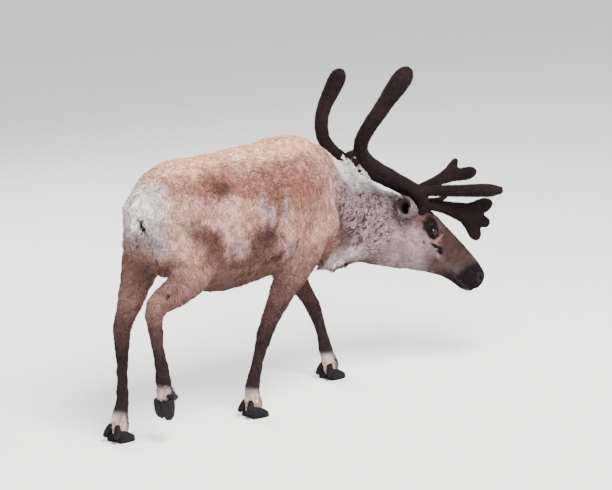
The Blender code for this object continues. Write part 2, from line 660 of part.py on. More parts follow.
# Tines and palms, each with the lengths that it is blended from.
TINES = {
    "antler_right_bez": [[(0.012, -0.058, 0.032, 0.020, 0.022, 0), (0.048, -0.078, 0.076, 0.024, 0.026, 0),
                          (0.102, -0.106, 0.126, 0.026, 0.030, 0), (0.173, -0.132, 0.195, 0.028, 0.044, 0),
                          (0.226, -0.142, 0.244, 0.028, 0.052, 0), (0.264, -0.147, 0.280, 0.016, 0.028, 0)]],
    "antler_right_shovel": [[(0.060, -0.046, 0.012, 0.024, 0.020, 0), (0.110, -0.050, 0.047, 0.026, 0.020, 0),
                             (0.170, -0.044, 0.082, 0.031, 0.019, 0), (0.240, -0.036, 0.118, 0.046, 0.018, 0),
                             (0.296, -0.030, 0.138, 0.050, 0.017, 0), (0.326, -0.028, 0.146, 0.028, 0.011, 0)],
                            [(0.225, -0.038, 0.122, 0.024, 0.015, 0), (0.265, -0.034, 0.170, 0.031, 0.016, 0),
                             (0.294, -0.030, 0.212, 0.033, 0.016, 0), (0.308, -0.029, 0.236, 0.018, 0.010, 0)],
                            [(0.270, -0.030, 0.128, 0.026, 0.014, 0), (0.326, -0.026, 0.150, 0.030, 0.015, 0), (0.362, -0.025, 0.160, 0.020, 0.011, 0)],
                            [(0.240, -0.034, 0.110, 0.028, 0.015, 0), (0.304, -0.028, 0.104, 0.034, 0.016, 0),
                             (0.352, -0.025, 0.086, 0.029, 0.015, 0), (0.370, -0.024, 0.078, 0.016, 0.010, 0)]],
    "antler_right_back_tine": [[(-0.352, -0.262, -0.044, 0.018, 0.018, 0), (-0.372, -0.264, -0.074, 0.017, 0.016, 0),
                                (-0.392, -0.266, -0.094, 0.013, 0.012, 0), (-0.404, -0.267, -0.104, 0.006, 0.006, 0)]],
    "antler_left_bez": [[(0.030, 0.062, 0.040, 0.022, 0.022, 0), (0.062, 0.074, 0.092, 0.024, 0.023, 0),
                         (0.096, 0.092, 0.162, 0.026, 0.020, 0), (0.124, 0.110, 0.218, 0.038, 0.018, 0),
                         (0.142, 0.122, 0.252, 0.034, 0.016, 0), (0.150, 0.126, 0.268, 0.018, 0.010, 0)],
                        [(0.116, 0.108, 0.206, 0.024, 0.016, 0), (0.118, 0.120, 0.252, 0.026, 0.015, 0),
                         (0.114, 0.130, 0.290, 0.018, 0.012, 0), (0.113, 0.133, 0.302, 0.009, 0.007, 0)],
                        [(0.128, 0.112, 0.216, 0.026, 0.016, 0), (0.166, 0.128, 0.260, 0.032, 0.016, 0),
                         (0.202, 0.142, 0.300, 0.034, 0.016, 0), (0.224, 0.150, 0.324, 0.018, 0.010, 0)]],
    "antler_left_brow": [[(0.062, 0.046, 0.016, 0.018, 0.018, 0), (0.104, 0.050, 0.050, 0.018, 0.016, 0),
                          (0.142, 0.046, 0.096, 0.015, 0.013, 0), (0.156, 0.042, 0.132, 0.011, 0.010, 0),
                          (0.161, 0.040, 0.146, 0.005, 0.005, 0)]],
}

TINE_FLAT = {"antler_right_bez": Vector((0, 1, 0)), "antler_left_bez": Vector((-0.25, 1, 0.35))}


def beam_mesh(name, side, first, last, grow):
    """Part of a main beam between two of its stations, square at the cut ends."""
    path = BEAMS[side]
    steps = 2
    rings = tube_rings(path, steps=steps, grow=grow, flat_side=Vector((0.25, 1.0, 0.0)))
    rings = rings[first * steps:last * steps + 1]
    start = rings[0]
    ahead = (rings[1][0] - start[0]).normalized()
    if first:
        rings[0] = (start[0] + ahead * (GAP - grow), *start[1:])
    domes = (0.4 if first == 0 else 0.0, 0.4 if last == len(path) - 1 else 0.0)
    mesh = loft(name, rings, sides=12, domes=domes)
    mesh.transform(HEAD)
    return mesh


def tine_object(name, group):
    """A tine or palm, its lengths fused, softened and thinned."""
    flat = TINE_FLAT.get(name, Vector((0, 1, 0)))
    meshes = [loft(name, tube_rings(path, steps=3, flat_side=flat), sides=12, domes=(0.5, 0.5))
              for path in TINES[name]]
    thing = joined(name, meshes, group)
    thing.data.transform(HEAD)
    remesh(thing, 0.005, 6)
    thin_out(thing, 130 + 90 * len(meshes))
    return thing


def build_antlers(parts, helpers):
    for side, path in BEAMS.items():
        low, high = BEAM_CUTS[side]
        pieces = {"base": (0, low), "middle": (low, high), "top": (high, len(path) - 1)}
        for piece, (first, last) in pieces.items():
            name = "antler_" + side + "_" + piece
            add_object(name, beam_mesh(name, side, first, last, 0.0), parts)
    for name in TINES:
        thing = tine_object(name, parts)
        side = "right" if "right" in name else "left"
        grown = add_object("grown_beam", beam_mesh("grown", side, 0, len(BEAMS[side]) - 1, GAP), helpers)
        boolean(thing, grown)
        keep_largest(thing)
        bpy.data.objects.remove(grown)


def dimensioned_head(helpers):
    head = joined("whole_head", [skull(), hidden_neck()], helpers)
    remesh(head, HEAD_VOXEL, 6)
    face_shape(head.data)
    thin_out(head, HEAD_TRIANGLES)
    head.data.transform(HEAD)
    return head


def hidden_neck():
    mesh = neck()
    mesh.transform(HEAD.inverted())
    return mesh


def build_flesh(parts, helpers):
    """Trunk, neck, legs and tail as one skin, cut into its pieces."""
    meshes = [trunk(), neck(), skull_in_place()]
    for leg, path in LEGS.items():
        meshes.append(loft(leg, tube_rings(path), sides=18, domes=(0.1, 0.1)))
    for centre, radii, tilt in both_sides(MASSES):
        meshes.append(blob("mass", centre, radii, tilt))
    body = joined("body", meshes, helpers)
    remesh(body, BODY_VOXEL, 5)
    thin_out(body, BODY_TRIANGLES)
    slabs = [slab(*NECK_CUT, 0.36, 0.30, "neck_cut")]
    for leg, cuts in LEG_CUTS.items():
        for low, share in cuts:
            slabs.append(slab(*leg_cut(leg, low, share), leg))
    slabs.append(slab(*HEAD_CUT, 0.30, 0.20, "head_cut"))
    for mesh in slabs:
        knife = add_object("knife", mesh, helpers)
        boolean(body, knife)
    names = leg_names()
    names["torso"] = Vector((-0.420, 0.0, 0.850))
    names["neck"] = Vector((0.260, -0.040, 0.730))
    names["head"] = HEAD @ Vector((0.250, 0.0, -0.090))
    found = {}
    for faces in loose_parts(body.data):
        name = nearest_name(body.data, faces, names)
        if len(faces) > len(found.get(name, [])):
            found[name] = faces
    for name, faces in found.items():
        if name != "head":
            add_object(name, part_mesh(body.data, faces, name), parts)
    head = dimensioned_head(helpers)
    boolean(head, knife)
    for faces in loose_parts(head.data):
        if nearest_name(head.data, faces, names) == "head":
            add_object("head", part_mesh(head.data, faces, "head"), parts)


def skull_in_place():
    mesh = skull()
    mesh.transform(HEAD)
    return mesh


def tail_mesh(name, grow):
    """A short tail hanging from the croup."""
    stations = [(-0.800, 0.0, 1.030, 0.016, 0.022, 0), (-0.846, 0.0, 1.006, 0.019, 0.028, 0),
                (-0.880, 0.0, 0.966, 0.020, 0.031, 0), (-0.892, 0.0, 0.915, 0.018, 0.029, 0),
                (-0.890, 0.0, 0.868, 0.013, 0.020, 0), (-0.886, 0.0, 0.846, 0.006, 0.010, 0)]
    return loft(name, tube_rings(stations, steps=2, grow=grow), sides=12, domes=(0.5, 0.5))


def carve(parts, helpers, name, makers):
    """Cut the space of every piece that sits in or beside a node out of that node."""
    thing = parts.objects[name]
    for mesh in makers:
        tool = add_object("tool", mesh, helpers)
        boolean(thing, tool)
        bpy.data.objects.remove(tool)
    keep_largest(thing)


def build_small_parts(parts, helpers):
    """Eyes, ears, tail, hooves and dewclaws, each sunk in what carries it."""
    sockets = []
    for word, side in (("right", -1), ("left", 1)):
        antler = beam_mesh("socket", word, 0, BEAM_CUTS[word][0], GAP)
        add_object("eye_" + word, eye_mesh("eye_" + word, side, 0.0), parts)
        add_object("ear_" + word, ear_mesh("ear_" + word, side, 0.0), parts)
        sockets += [eye_mesh("socket", side, GAP), ear_mesh("socket", side, GAP), antler]
        carve(parts, helpers, "ear_" + word, [antler.copy()])
    carve(parts, helpers, "head", sockets)
    add_object("tail", tail_mesh("tail", 0.0), parts)
    carve(parts, helpers, "torso", [tail_mesh("socket", GAP)])
    for leg in LEGS:
        inner = 1 if "right" in leg else -1
        sockets = []
        for word, side in (("inner", inner), ("outer", -inner)):
            hoof, dewclaw = "hoof_" + leg + "_" + word, "dewclaw_" + leg + "_" + word
            add_object(hoof, hoof_mesh(hoof, leg, side, 0.0), parts)
            add_object(dewclaw, dewclaw_mesh(dewclaw, leg, side, 0.0), parts)
            carve(parts, helpers, dewclaw, [hoof_mesh("socket", leg, side, GAP)])
            sockets += [hoof_mesh("socket", leg, side, GAP), dewclaw_mesh("socket", leg, side, GAP)]
        carve(parts, helpers, "leg_" + leg + "_foot", sockets)


# Where the long hair grows: node, middle of a row, way that it runs, how many, way that the locks
# lie, their length and their width.
LOCK_ROWS = [
    ("neck", (0.215, -0.030, 0.530), (0, 1, 0), 0.036, 3, (-0.70, 0.05, -0.7), 0.085, 0.044),
    ("neck", (0.165, -0.015, 0.545), (0, 1, 0), 0.036, 4, (-0.65, 0.02, -0.7), 0.095, 0.046),
    ("neck", (0.115, -0.005, 0.560), (0, 1, 0), 0.036, 3, (-0.55, 0.00, -0.8), 0.085, 0.046),
    ("neck", (0.300, -0.040, 0.892), (-0.85, 0.1, 0.5), 0.042, 5, (-0.80, 0.10, 0.45), 0.080, 0.038),
    ("neck", (0.305, 0.000, 0.880), (-0.85, 0.1, 0.5), 0.042, 4, (-0.82, 0.25, 0.35), 0.080, 0.038),
    ("tail", (-0.925, 0.000, 0.930), (0, 1, 0), 0.018, 2, (-0.15, 0.0, -1.0), 0.070, 0.028),
    ("tail", (-0.920, 0.000, 0.900), (0, 1, 0), 0.016, 2, (-0.12, 0.0, -1.0), 0.066, 0.026),
]


def lock_mesh(root, way, out, length, width):
    """A flat tapered lock that leaves the skin and bends back along it."""
    side = out.cross(way).normalized()
    rise = length * math.sin(LOCK_LIFT)
    rings = []
    for share, wide, lift in ((0.0, 0.85, 0.0), (0.35, 1.0, 0.75), (0.75, 0.60, 1.0)):
        centre = root + way * (length * share) + out * (rise * lift - (LOCK_SINK if share == 0.0 else 0.0))
        half = width / 2 * wide
        rings.append((centre, out * (half * LOCK_THICKNESS), side * half, 0.0))
    return loft("lock", rings, sides=6, domes=(0.4, 4.5 * length / width * 0.25))


def set_locks(parts, helpers):
    """Grow the long hair from its nodes, all of a node's locks in one union."""
    draw = random.Random(5)
    locks = new_collection("locks")
    for name in ("neck", "tail"):
        thing = parts.objects[name]
        tree = BVHTree.FromPolygons([vert.co for vert in thing.data.vertices],
                                    [face.vertices for face in thing.data.polygons])
        for node, middle, run, step, count, way, length, width in LOCK_ROWS:
            for k in range(count if node == name else 0):
                place = Vector(middle) + Vector(run) * (step * (k - (count - 1) / 2))
                place += Vector([draw.uniform(-0.005, 0.005) for _ in range(3)])
                root, out, _, _ = tree.find_nearest(place)
                lie = Vector(way) + Vector([draw.uniform(-0.12, 0.12) for _ in range(3)])
                lie = (lie - out * lie.dot(out)).normalized()
                size = draw.uniform(0.85, 1.15)
                add_object("lock", lock_mesh(root, lie, out, length * size, width * size), locks)
        change = thing.modifiers.new("locks", "BOOLEAN")
        change.operand_type = "COLLECTION"
        change.collection = locks
        change.operation = "UNION"
        change.solver = "EXACT"
        evaluated(thing)
        for lock in list(locks.objects):
            bpy.data.objects.remove(lock)
        keep_largest(thing)
    bpy.data.collections.remove(locks)


def stand_at_origin(parts):
    """Move everything so that the box's bottom centre is the origin."""
    low = Vector((9.0, 9.0, 9.0))
    high = -low
    for thing in parts.objects:
        for vert in thing.data.vertices:
            for axis in range(3):
                low[axis] = min(low[axis], vert.co[axis])
                high[axis] = max(high[axis], vert.co[axis])
    shift = Vector((-(low.x + high.x) / 2, -(low.y + high.y) / 2, -low.z))
    for thing in parts.objects:
        thing.data.transform(Matrix.Translation(shift))


def finish_parts(parts):
    coat = material("coat", (0.42, 0.31, 0.23), 0.85)
    velvet = material("velvet", (0.055, 0.032, 0.030), 0.90)
    horn = material("hoof", (0.045, 0.045, 0.050), 0.45)
    eye = material("eye", (0.012, 0.009, 0.008), 0.08)
    for thing in parts.objects:
        kinds = {"antler": velvet, "hoof": horn, "dewclaw": horn, "eye": eye}
        finish = kinds.get(thing.name.split("_")[0], coat)
        thing.data.materials.clear()
        thing.data.materials.append(finish)
        thing.data.shade_smooth()


def main():
    clear_scene()
    parts = new_collection(NAME)
    helpers = new_collection("helpers")
    build_flesh(parts, helpers)
    build_antlers(parts, helpers)
    build_small_parts(parts, helpers)
    set_locks(parts, helpers)
    for thing in list(helpers.objects):
        bpy.data.objects.remove(thing)
    stand_at_origin(parts)
    finish_parts(parts)


main()
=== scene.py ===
"""Looks of a life-size reindeer bull in summer coat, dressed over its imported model.

The model's flesh is covered by one skin, with short hair laid over it as small closed tufts.
Its antlers get velvet, its hooves horn and its eyes lids and a wet surface.
"""

import math

import bpy
import bmesh
import numpy as np
from bpy.props import FloatProperty, FloatVectorProperty, IntProperty, PointerProperty
from mathutils import Matrix, Vector


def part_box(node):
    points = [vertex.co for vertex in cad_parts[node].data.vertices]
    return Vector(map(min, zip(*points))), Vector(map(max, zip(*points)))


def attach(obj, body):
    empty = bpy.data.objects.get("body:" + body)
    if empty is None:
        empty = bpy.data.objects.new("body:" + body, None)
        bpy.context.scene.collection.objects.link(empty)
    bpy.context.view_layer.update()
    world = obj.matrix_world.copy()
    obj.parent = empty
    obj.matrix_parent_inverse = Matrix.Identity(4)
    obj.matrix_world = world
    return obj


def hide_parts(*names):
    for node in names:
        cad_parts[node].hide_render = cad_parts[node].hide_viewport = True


bl_info = {
    "name": "Reindeer looks",
    "version": (1, 0, 0),
    "blender": (4, 5, 0),
    "location": "View3D > Sidebar > Reindeer",
    "description": "Skin, coat, velvet, horn, eyes and studio of a life-size reindeer",
    "category": "Object",
}

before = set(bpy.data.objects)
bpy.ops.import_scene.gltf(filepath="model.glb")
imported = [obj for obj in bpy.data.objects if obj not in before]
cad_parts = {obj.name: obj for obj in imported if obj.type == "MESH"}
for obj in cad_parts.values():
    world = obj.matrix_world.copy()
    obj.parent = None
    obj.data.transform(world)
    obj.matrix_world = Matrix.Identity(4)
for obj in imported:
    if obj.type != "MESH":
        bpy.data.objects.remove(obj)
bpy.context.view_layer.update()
BODY = "root"

# The head's own frame: X to the nose, Y to its left, Z out of the forehead.
POLL = Vector((0.495, -0.1, 0.77))
HEAD_TURN = math.radians(31.0)
HEAD_DROP = math.radians(48.0)
HEAD_TWIST = math.radians(10.0)
EYE_PLACE = Vector((0.181, 0.061, -0.042))
EYE_RADIUS = 0.0215
EAR_ROOT = (0.06, 0.05, -0.036)
EAR_MOUTH = (-0.026, 0.146, -0.072)

LEGS = ("front_right", "front_left", "hind_right", "hind_left")
ANTLERS = {
    "right": ("base", "middle", "top", "bez", "shovel", "back_tine"),
    "left": ("base", "middle", "top", "bez", "brow"),
}


def head_matrix():
    """The head's frame before the part was centred over its floor."""
    ahead = Vector((math.cos(HEAD_TURN), -math.sin(HEAD_TURN), 0.0))
    left = Vector((math.sin(HEAD_TURN), math.cos(HEAD_TURN), 0.0))
    up = Vector((0.0, 0.0, 1.0))
    nose = ahead * math.cos(HEAD_DROP) - up * math.sin(HEAD_DROP)
    brow = ahead * math.sin(HEAD_DROP) + up * math.cos(HEAD_DROP)
    side = left * math.cos(HEAD_TWIST) - brow * math.sin(HEAD_TWIST)
    brow = brow * math.cos(HEAD_TWIST) + left * math.sin(HEAD_TWIST)
    rows = [[nose[i], side[i], brow[i], POLL[i]] for i in range(3)]
    return Matrix(rows + [[0.0, 0.0, 0.0, 1.0]])


def node_centre(name):
    low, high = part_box(name)
    return (Vector(low) + Vector(high)) / 2


def hooves_middle(leg):
    return (node_centre("hoof_" + leg + "_inner") + node_centre("hoof_" + leg + "_outer")) / 2


# The named places below are in the maker's frame, which stands this far from the row frame.
MAKER_HEAD = head_matrix()
RIGHT_EYE = Vector((EYE_PLACE.x, -EYE_PLACE.y, EYE_PLACE.z))
ORIGIN = node_centre("eye_right") - MAKER_HEAD @ RIGHT_EYE
HEAD = Matrix.Translation(ORIGIN) @ MAKER_HEAD
HEAD_AXES = np.array(HEAD.to_3x3())
HEAD_PLACE = np.array(HEAD.translation)


def colour_setting(name, description, default):
    return FloatVectorProperty(name=name, description=description, default=default, subtype="COLOR")


def length_setting(name, description, default):
    return FloatProperty(name=name, description=description, default=default, unit="LENGTH")


def angle_setting(name, description, degrees):
    return FloatProperty(name=name, description=description, default=math.radians(degrees), subtype="ANGLE")


# Sizes and colours that a user would change.
class CoatSettings(bpy.types.PropertyGroup):
    cover: FloatProperty(
        name="Cover", description="Layers of tufts over each point of the skin", default=1.75, min=0.2)
    thickness: FloatProperty(
        name="Tuft thickness", description="A tuft's height as a share of its width", default=0.3, min=0.05)
    scatter: angle_setting("Scatter", "How far tufts turn away from the lie of the coat", 13.0)
    fawn: colour_setting("Fawn", "Colour of the flanks", (0.37, 0.195, 0.15))
    cream: colour_setting("Cream", "Colour along the back", (0.8, 0.43, 0.315))
    white: colour_setting("White", "Colour of the rump, tail and pasterns", (0.93, 0.88, 0.89))
    brown: colour_setting("Brown", "Colour of the dark patches", (0.045, 0.021, 0.017))
    grey: colour_setting("Grey", "Colour of the neck and cheeks", (0.235, 0.163, 0.192))
    black: colour_setting("Black", "Colour of the muzzle and round the eyes", (0.004, 0.0028, 0.0038))


class SkinSettings(bpy.types.PropertyGroup):
    voxel: length_setting("Skin grain", "Size of the skin's faces on the body", 0.007)
    rounds: IntProperty(name="Smoothing", description="Rounds of smoothing on the trunk", default=26)
    lid: length_setting("Lid thickness", "How far the lids stand over the eye", 0.0032)
    opening: length_setting("Eye opening", "Half length of the opening between the lids", 0.0175)


class VelvetSettings(bpy.types.PropertyGroup):
    voxel: length_setting("Velvet grain", "Size of the antler's faces", 0.0035)
    nap: length_setting("Nap", "Length of the velvet's hairs", 0.005)
    cover: FloatProperty(name="Nap cover", description="Layers of nap over each point", default=0.55)
    dark: colour_setting("Velvet", "Colour of the velvet", (0.003, 0.0015, 0.0017))
    light: colour_setting("Velvet tips", "Colour of the velvet's tips", (0.015, 0.0072, 0.0082))


class HornSettings(bpy.types.PropertyGroup):
    voxel: length_setting("Hoof grain", "Size of a hoof's faces", 0.0018)
    colour: colour_setting("Horn", "Colour of the hooves", (0.0034, 0.0031, 0.004))
    iris: colour_setting("Iris", "Colour of the eye round its pupil", (0.009, 0.004, 0.002))


class StageSettings(bpy.types.PropertyGroup):
    azimuth: angle_setting("Camera azimuth", "Direction that the camera looks from", -42.0)
    elevation: angle_setting("Camera elevation", "Height of the camera as an angle", 13.0)
    roll: angle_setting("Camera roll", "Turn of the picture", 3.0)
    distance: length_setting("Camera distance", "From the camera to the middle of the body", 12.0)
    lens: FloatProperty(name="Lens", description="Focal length in millimetres", default=168.0)
    floor: colour_setting("Floor", "Colour of the floor", (0.8, 0.79, 0.77))


SETTINGS = {
    "coat": CoatSettings, "skin": SkinSettings, "velvet": VelvetSettings,
    "horn": HornSettings, "studio": StageSettings,
}


def setting(group):
    return getattr(bpy.context.scene, "reindeer_" + group)


# Mesh tools.
def mesh_points(mesh):
    flat = np.empty(len(mesh.vertices) * 3)
    mesh.vertices.foreach_get("co", flat)
    return flat.reshape(-1, 3)


def mesh_normals(mesh):
    flat = np.empty(len(mesh.vertices) * 3)
    mesh.vertices.foreach_get("normal", flat)
    return flat.reshape(-1, 3)


def mesh_triangles(mesh):
    mesh.calc_loop_triangles()
    flat = np.empty(len(mesh.loop_triangles) * 3, dtype=np.int32)
    mesh.loop_triangles.foreach_get("vertices", flat)
    return flat.reshape(-1, 3)


def set_mesh_points(mesh, points):
    mesh.vertices.foreach_set("co", points.ravel())
    mesh.update()


def triangle_mesh(name, points, triangles):
    """A mesh from arrays of places and corners."""
    mesh = bpy.data.meshes.new(name)
    mesh.vertices.add(len(points))
    mesh.vertices.foreach_set("co", points.ravel())
    mesh.loops.add(triangles.size)
    mesh.loops.foreach_set("vertex_index", triangles.ravel().astype(np.int32))
    mesh.polygons.add(len(triangles))
    mesh.polygons.foreach_set("loop_start", np.arange(0, triangles.size, 3, dtype=np.int32))
    mesh.update(calc_edges=True)
    mesh.shade_smooth()
    return mesh


def placed(name, data):
    """A new object in the scene."""
    thing = bpy.data.objects.new(name, data)
    bpy.context.scene.collection.objects.link(thing)
    return thing


def add_piece(name, mesh, material, nodes=()):
    """Show a mesh as a piece of the part that goes with its body."""
    piece = placed(name, mesh)
    mesh.materials.clear()
    mesh.materials.append(material)
    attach(piece, BODY)
    if nodes:
        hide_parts(*nodes)
    return piece


def point_values(mesh, name, values):
    """Store a number or a vector for each point."""
    kind, field = ("FLOAT_VECTOR", "vector") if values.ndim == 2 else ("FLOAT", "value")
    mesh.attributes.new(name, kind, "POINT").data.foreach_set(field, np.ascontiguousarray(values).ravel())


def joined(name, meshes, grow=0.0):
    """Copies of meshes as one mesh, each grown by so much."""
    points, triangles, start = [], [], 0
    for mesh in meshes:
        points.append(mesh_points(mesh) + mesh_normals(mesh) * grow if grow else mesh_points(mesh))
        triangles.append(mesh_triangles(mesh) + start)
        start += len(mesh.vertices)
    return triangle_mesh(name, np.concatenate(points), np.concatenate(triangles))


def merged_nodes(names, grow):
    """Copies of CAD nodes as one mesh, each grown a little so that the gaps between them close."""
    return joined("merged", [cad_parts[name].data for name in names], grow)


def remeshed(mesh, voxel):
    """The outer surface of a mesh as even square faces."""
    thing = placed("remesh", mesh)
    change = thing.modifiers.new("voxels", "REMESH")
    change.mode = "VOXEL"
    change.voxel_size = voxel
    depsgraph = bpy.context.evaluated_depsgraph_get()
    done = bpy.data.meshes.new_from_object(thing.evaluated_get(depsgraph))
    bpy.data.objects.remove(thing)
    bpy.data.meshes.remove(mesh)
    return done


SMOOTHING_PULL = 0.55


def relaxed(mesh, share, rounds, back=0.57):
    """Smooth a mesh, without shrinking it unless back is 0; share is how much each point takes part."""
    points = mesh_points(mesh)
    flat = np.empty(len(mesh.edges) * 2, dtype=np.int32)
    mesh.edges.foreach_get("vertices", flat)
    a, b = flat.reshape(-1, 2).T
    count = np.maximum(np.bincount(np.concatenate([a, b]), minlength=len(points)), 1)[:, None]
    for step in range(rounds * 2):
        total = np.empty_like(points)
        for axis in range(3):
            total[:, axis] = np.bincount(a, points[b, axis], len(points))
            total[:, axis] += np.bincount(b, points[a, axis], len(points))
        pull = SMOOTHING_PULL if step % 2 == 0 else -back
        points += (total / count - points) * (pull * share[:, None])
    set_mesh_points(mesh, points)


def to_head(points):
    return (points - HEAD_PLACE) @ HEAD_AXES


def from_head(points):
    return points @ HEAD_AXES.T + HEAD_PLACE


def smooth_step(value, start, end):
    share = np.clip((value - start) / (end - start), 0.0, 1.0)
    return share * share * (3 - 2 * share)


def waves(points, scale, seed):
    """Soft random waves through space, about from -1 to 1."""
    rng = np.random.default_rng(seed)
    total, weight = np.zeros(len(points)), 0.0
    for octave in range(3):
        for _ in range(5):
            way = rng.normal(size=3)
            way *= 2 * math.pi * 2 ** octave / (scale * np.linalg.norm(way)) * rng.uniform(0.6, 1.4)
            total += np.sin(points @ way + rng.uniform(0, 2 * math.pi)) / 1.7 ** octave
        weight += 2.2 / 1.7 ** octave
    return total / weight


# The lie of the coat: place, way the hair points, length, lift in degrees and width, all on the right side.
TRUNK_LIE = [
    ((-0.05, -0.03, 1.1), (-1, -0.15, -0.1), 0.016, 9, 0.0046),
    ((-0.4, -0.03, 1.1), (-1, -0.2, -0.1), 0.016, 9, 0.0044),
    ((-0.7, -0.05, 1.09), (-1, -0.2, -0.3), 0.016, 9, 0.0044),
    ((-0.86, -0.06, 0.98), (-0.3, -0.05, -1), 0.017, 10, 0.0044),
    ((-0.88, -0.08, 0.82), (-0.1, 0, -1), 0.016, 10, 0.0042),
    ((-0.35, -0.17, 0.98), (-1, 0, -0.45), 0.018, 12, 0.0044),
    ((-0.35, -0.22, 0.84), (-0.9, 0, -0.6), 0.018, 13, 0.0046),
    ((-0.35, -0.2, 0.68), (-0.9, 0.2, -0.5), 0.019, 14, 0.0046),
    ((-0.35, -0.05, 0.58), (-1, 0, 0), 0.022, 12, 0.0046),
    ((-0.7, -0.05, 0.66), (-0.8, 0, -0.3), 0.013, 10, 0.004),
    ((-0.12, -0.18, 0.85), (-0.6, 0, -1), 0.016, 11, 0.0042),
    ((-0.1, -0.18, 0.68), (-0.5, 0, -1), 0.014, 11, 0.004),
    ((-0.72, -0.18, 0.9), (-0.6, 0, -1), 0.016, 11, 0.0042),
    ((-0.72, -0.18, 0.76), (-0.4, 0, -1), 0.014, 11, 0.004),
    ((-0.55, -0.2, 0.78), (-0.8, 0, -0.7), 0.016, 12, 0.0044),
    ((-0.02, -0.03, 0.62), (-0.9, 0, -0.5), 0.024, 13, 0.0046),
    ((0.15, -0.03, 0.98), (-0.9, 0.1, 0.3), 0.021, 12, 0.0046),
    ((0.3, -0.05, 0.88), (-0.8, 0.1, 0.4), 0.022, 12, 0.0044),
    ((0.25, -0.13, 0.76), (-0.8, 0.1, -0.4), 0.024, 17, 0.0048),
    ((0.26, -0.1, 0.58), (-0.9, 0.1, -0.3), 0.018, 9, 0.0046),
    ((0.12, -0.04, 0.6), (-0.9, 0, -0.4), 0.02, 9, 0.0046),
    ((0.1, -0.13, 0.8), (-0.7, 0, -0.6), 0.022, 15, 0.0046),
]

# The same on the head, in the head's frame.
HEAD_LIE = [
    ((0, -0.03, 0), (-1, 0, 0.1), 0.018, 15, 0.0036),
    ((0.08, -0.09, -0.07), (-1, 0, -0.3), 0.014, 12, 0.0032),
    ((0.14, -0.03, 0.03), (-1, -0.1, 0.1), 0.011, 12, 0.0028),
    ((0.181, -0.075, -0.042), (-0.8, -0.1, -0.5), 0.005, 9, 0.0018),
    ((0.25, -0.075, -0.12), (-1, 0, -0.5), 0.011, 11, 0.0028),
    ((0.28, -0.04, -0.19), (-1, 0, -0.3), 0.015, 12, 0.0034),
    ((0.3, -0.05, 0), (-1, -0.1, 0), 0.0075, 10, 0.0022),
    ((0.4, -0.03, 0.01), (-1, 0, 0), 0.006, 10, 0.002),
    ((0.49, -0.03, -0.03), (-1, -0.1, -0.2), 0.0042, 9, 0.0017),
    ((0.48, -0.03, -0.1), (-1, 0, -0.2), 0.0046, 10, 0.0017),
    ((0.4, -0.04, -0.12), (-1, 0, -0.3), 0.0065, 10, 0.0022),
]

# Down a leg: each piece's length, lift and width of hair.
LEG_LIE = {"upper": (0.012, 11, 0.0034), "cannon": (0.0075, 9, 0.0028), "foot": (0.0085, 10, 0.0028)}


def lie_guides():
    """Arrays of guide places, ways, lengths, lifts and widths in the row frame, for both sides."""
    rows = []
    for side in (1.0, -1.0):
        for place, way, length, lift, width in TRUNK_LIE:
            at = Vector((place[0], place[1] * side, place[2])) + ORIGIN
            rows.append((at, Vector((way[0], way[1] * side, way[2])), length, lift, width))
        for place, way, length, lift, width in HEAD_LIE:
            at = HEAD @ Vector((place[0], place[1] * side, place[2]))
            rows.append((at, HEAD.to_3x3() @ Vector((way[0], way[1] * side, way[2])), length, lift, width))
    for leg in LEGS:
        centres = [node_centre("leg_" + leg + "_" + piece) for piece in LEG_LIE]
        ends = centres[1:] + [node_centre("hoof_" + leg + "_inner")]
        for (length, lift, width), centre, end in zip(LEG_LIE.values(), centres, ends):
            rows.append((centre, end - centre, length, lift, width))
            rows.append((centre.lerp(end, 0.5), end - centre, length, lift, width))
    places = np.array([row[0] for row in rows])
    ways = np.array([row[1].normalized() for row in rows])
    sizes = np.array([row[2:] for row in rows])
    return places, ways, sizes


POINTS_AT_A_TIME = 20000


def laid(ways, normals):
    """Ways turned into the surface, each of length 1."""
    ways = ways - normals * (ways * normals).sum(axis=1, keepdims=True)
    return ways / np.maximum(np.linalg.norm(ways, axis=1, keepdims=True), 1e-6)


def coat_lie(points, normals):
    """The way, length, lift in radians and width of the hair at each point."""
    places, ways, sizes = lie_guides()
    way = np.empty_like(points)
    size = np.empty((len(points), 3))
    for start in range(0, len(points), POINTS_AT_A_TIME):
        part = slice(start, start + POINTS_AT_A_TIME)
        gap = np.linalg.norm(points[part, None] - places[None], axis=2)
        pull = 1.0 / (gap ** 4 + 1e-7)
        pull /= pull.sum(axis=1, keepdims=True)
        way[part] = pull @ ways
        size[part] = pull @ sizes
    return laid(way, normals), size[:, 0], np.radians(size[:, 1]), size[:, 2]


def coat_depth(points, normals):
    """How far the skin lies under the tips of the coat."""
    _, length, lift, _ = coat_lie(points, normals)
    return length * np.sin(lift) * 0.75


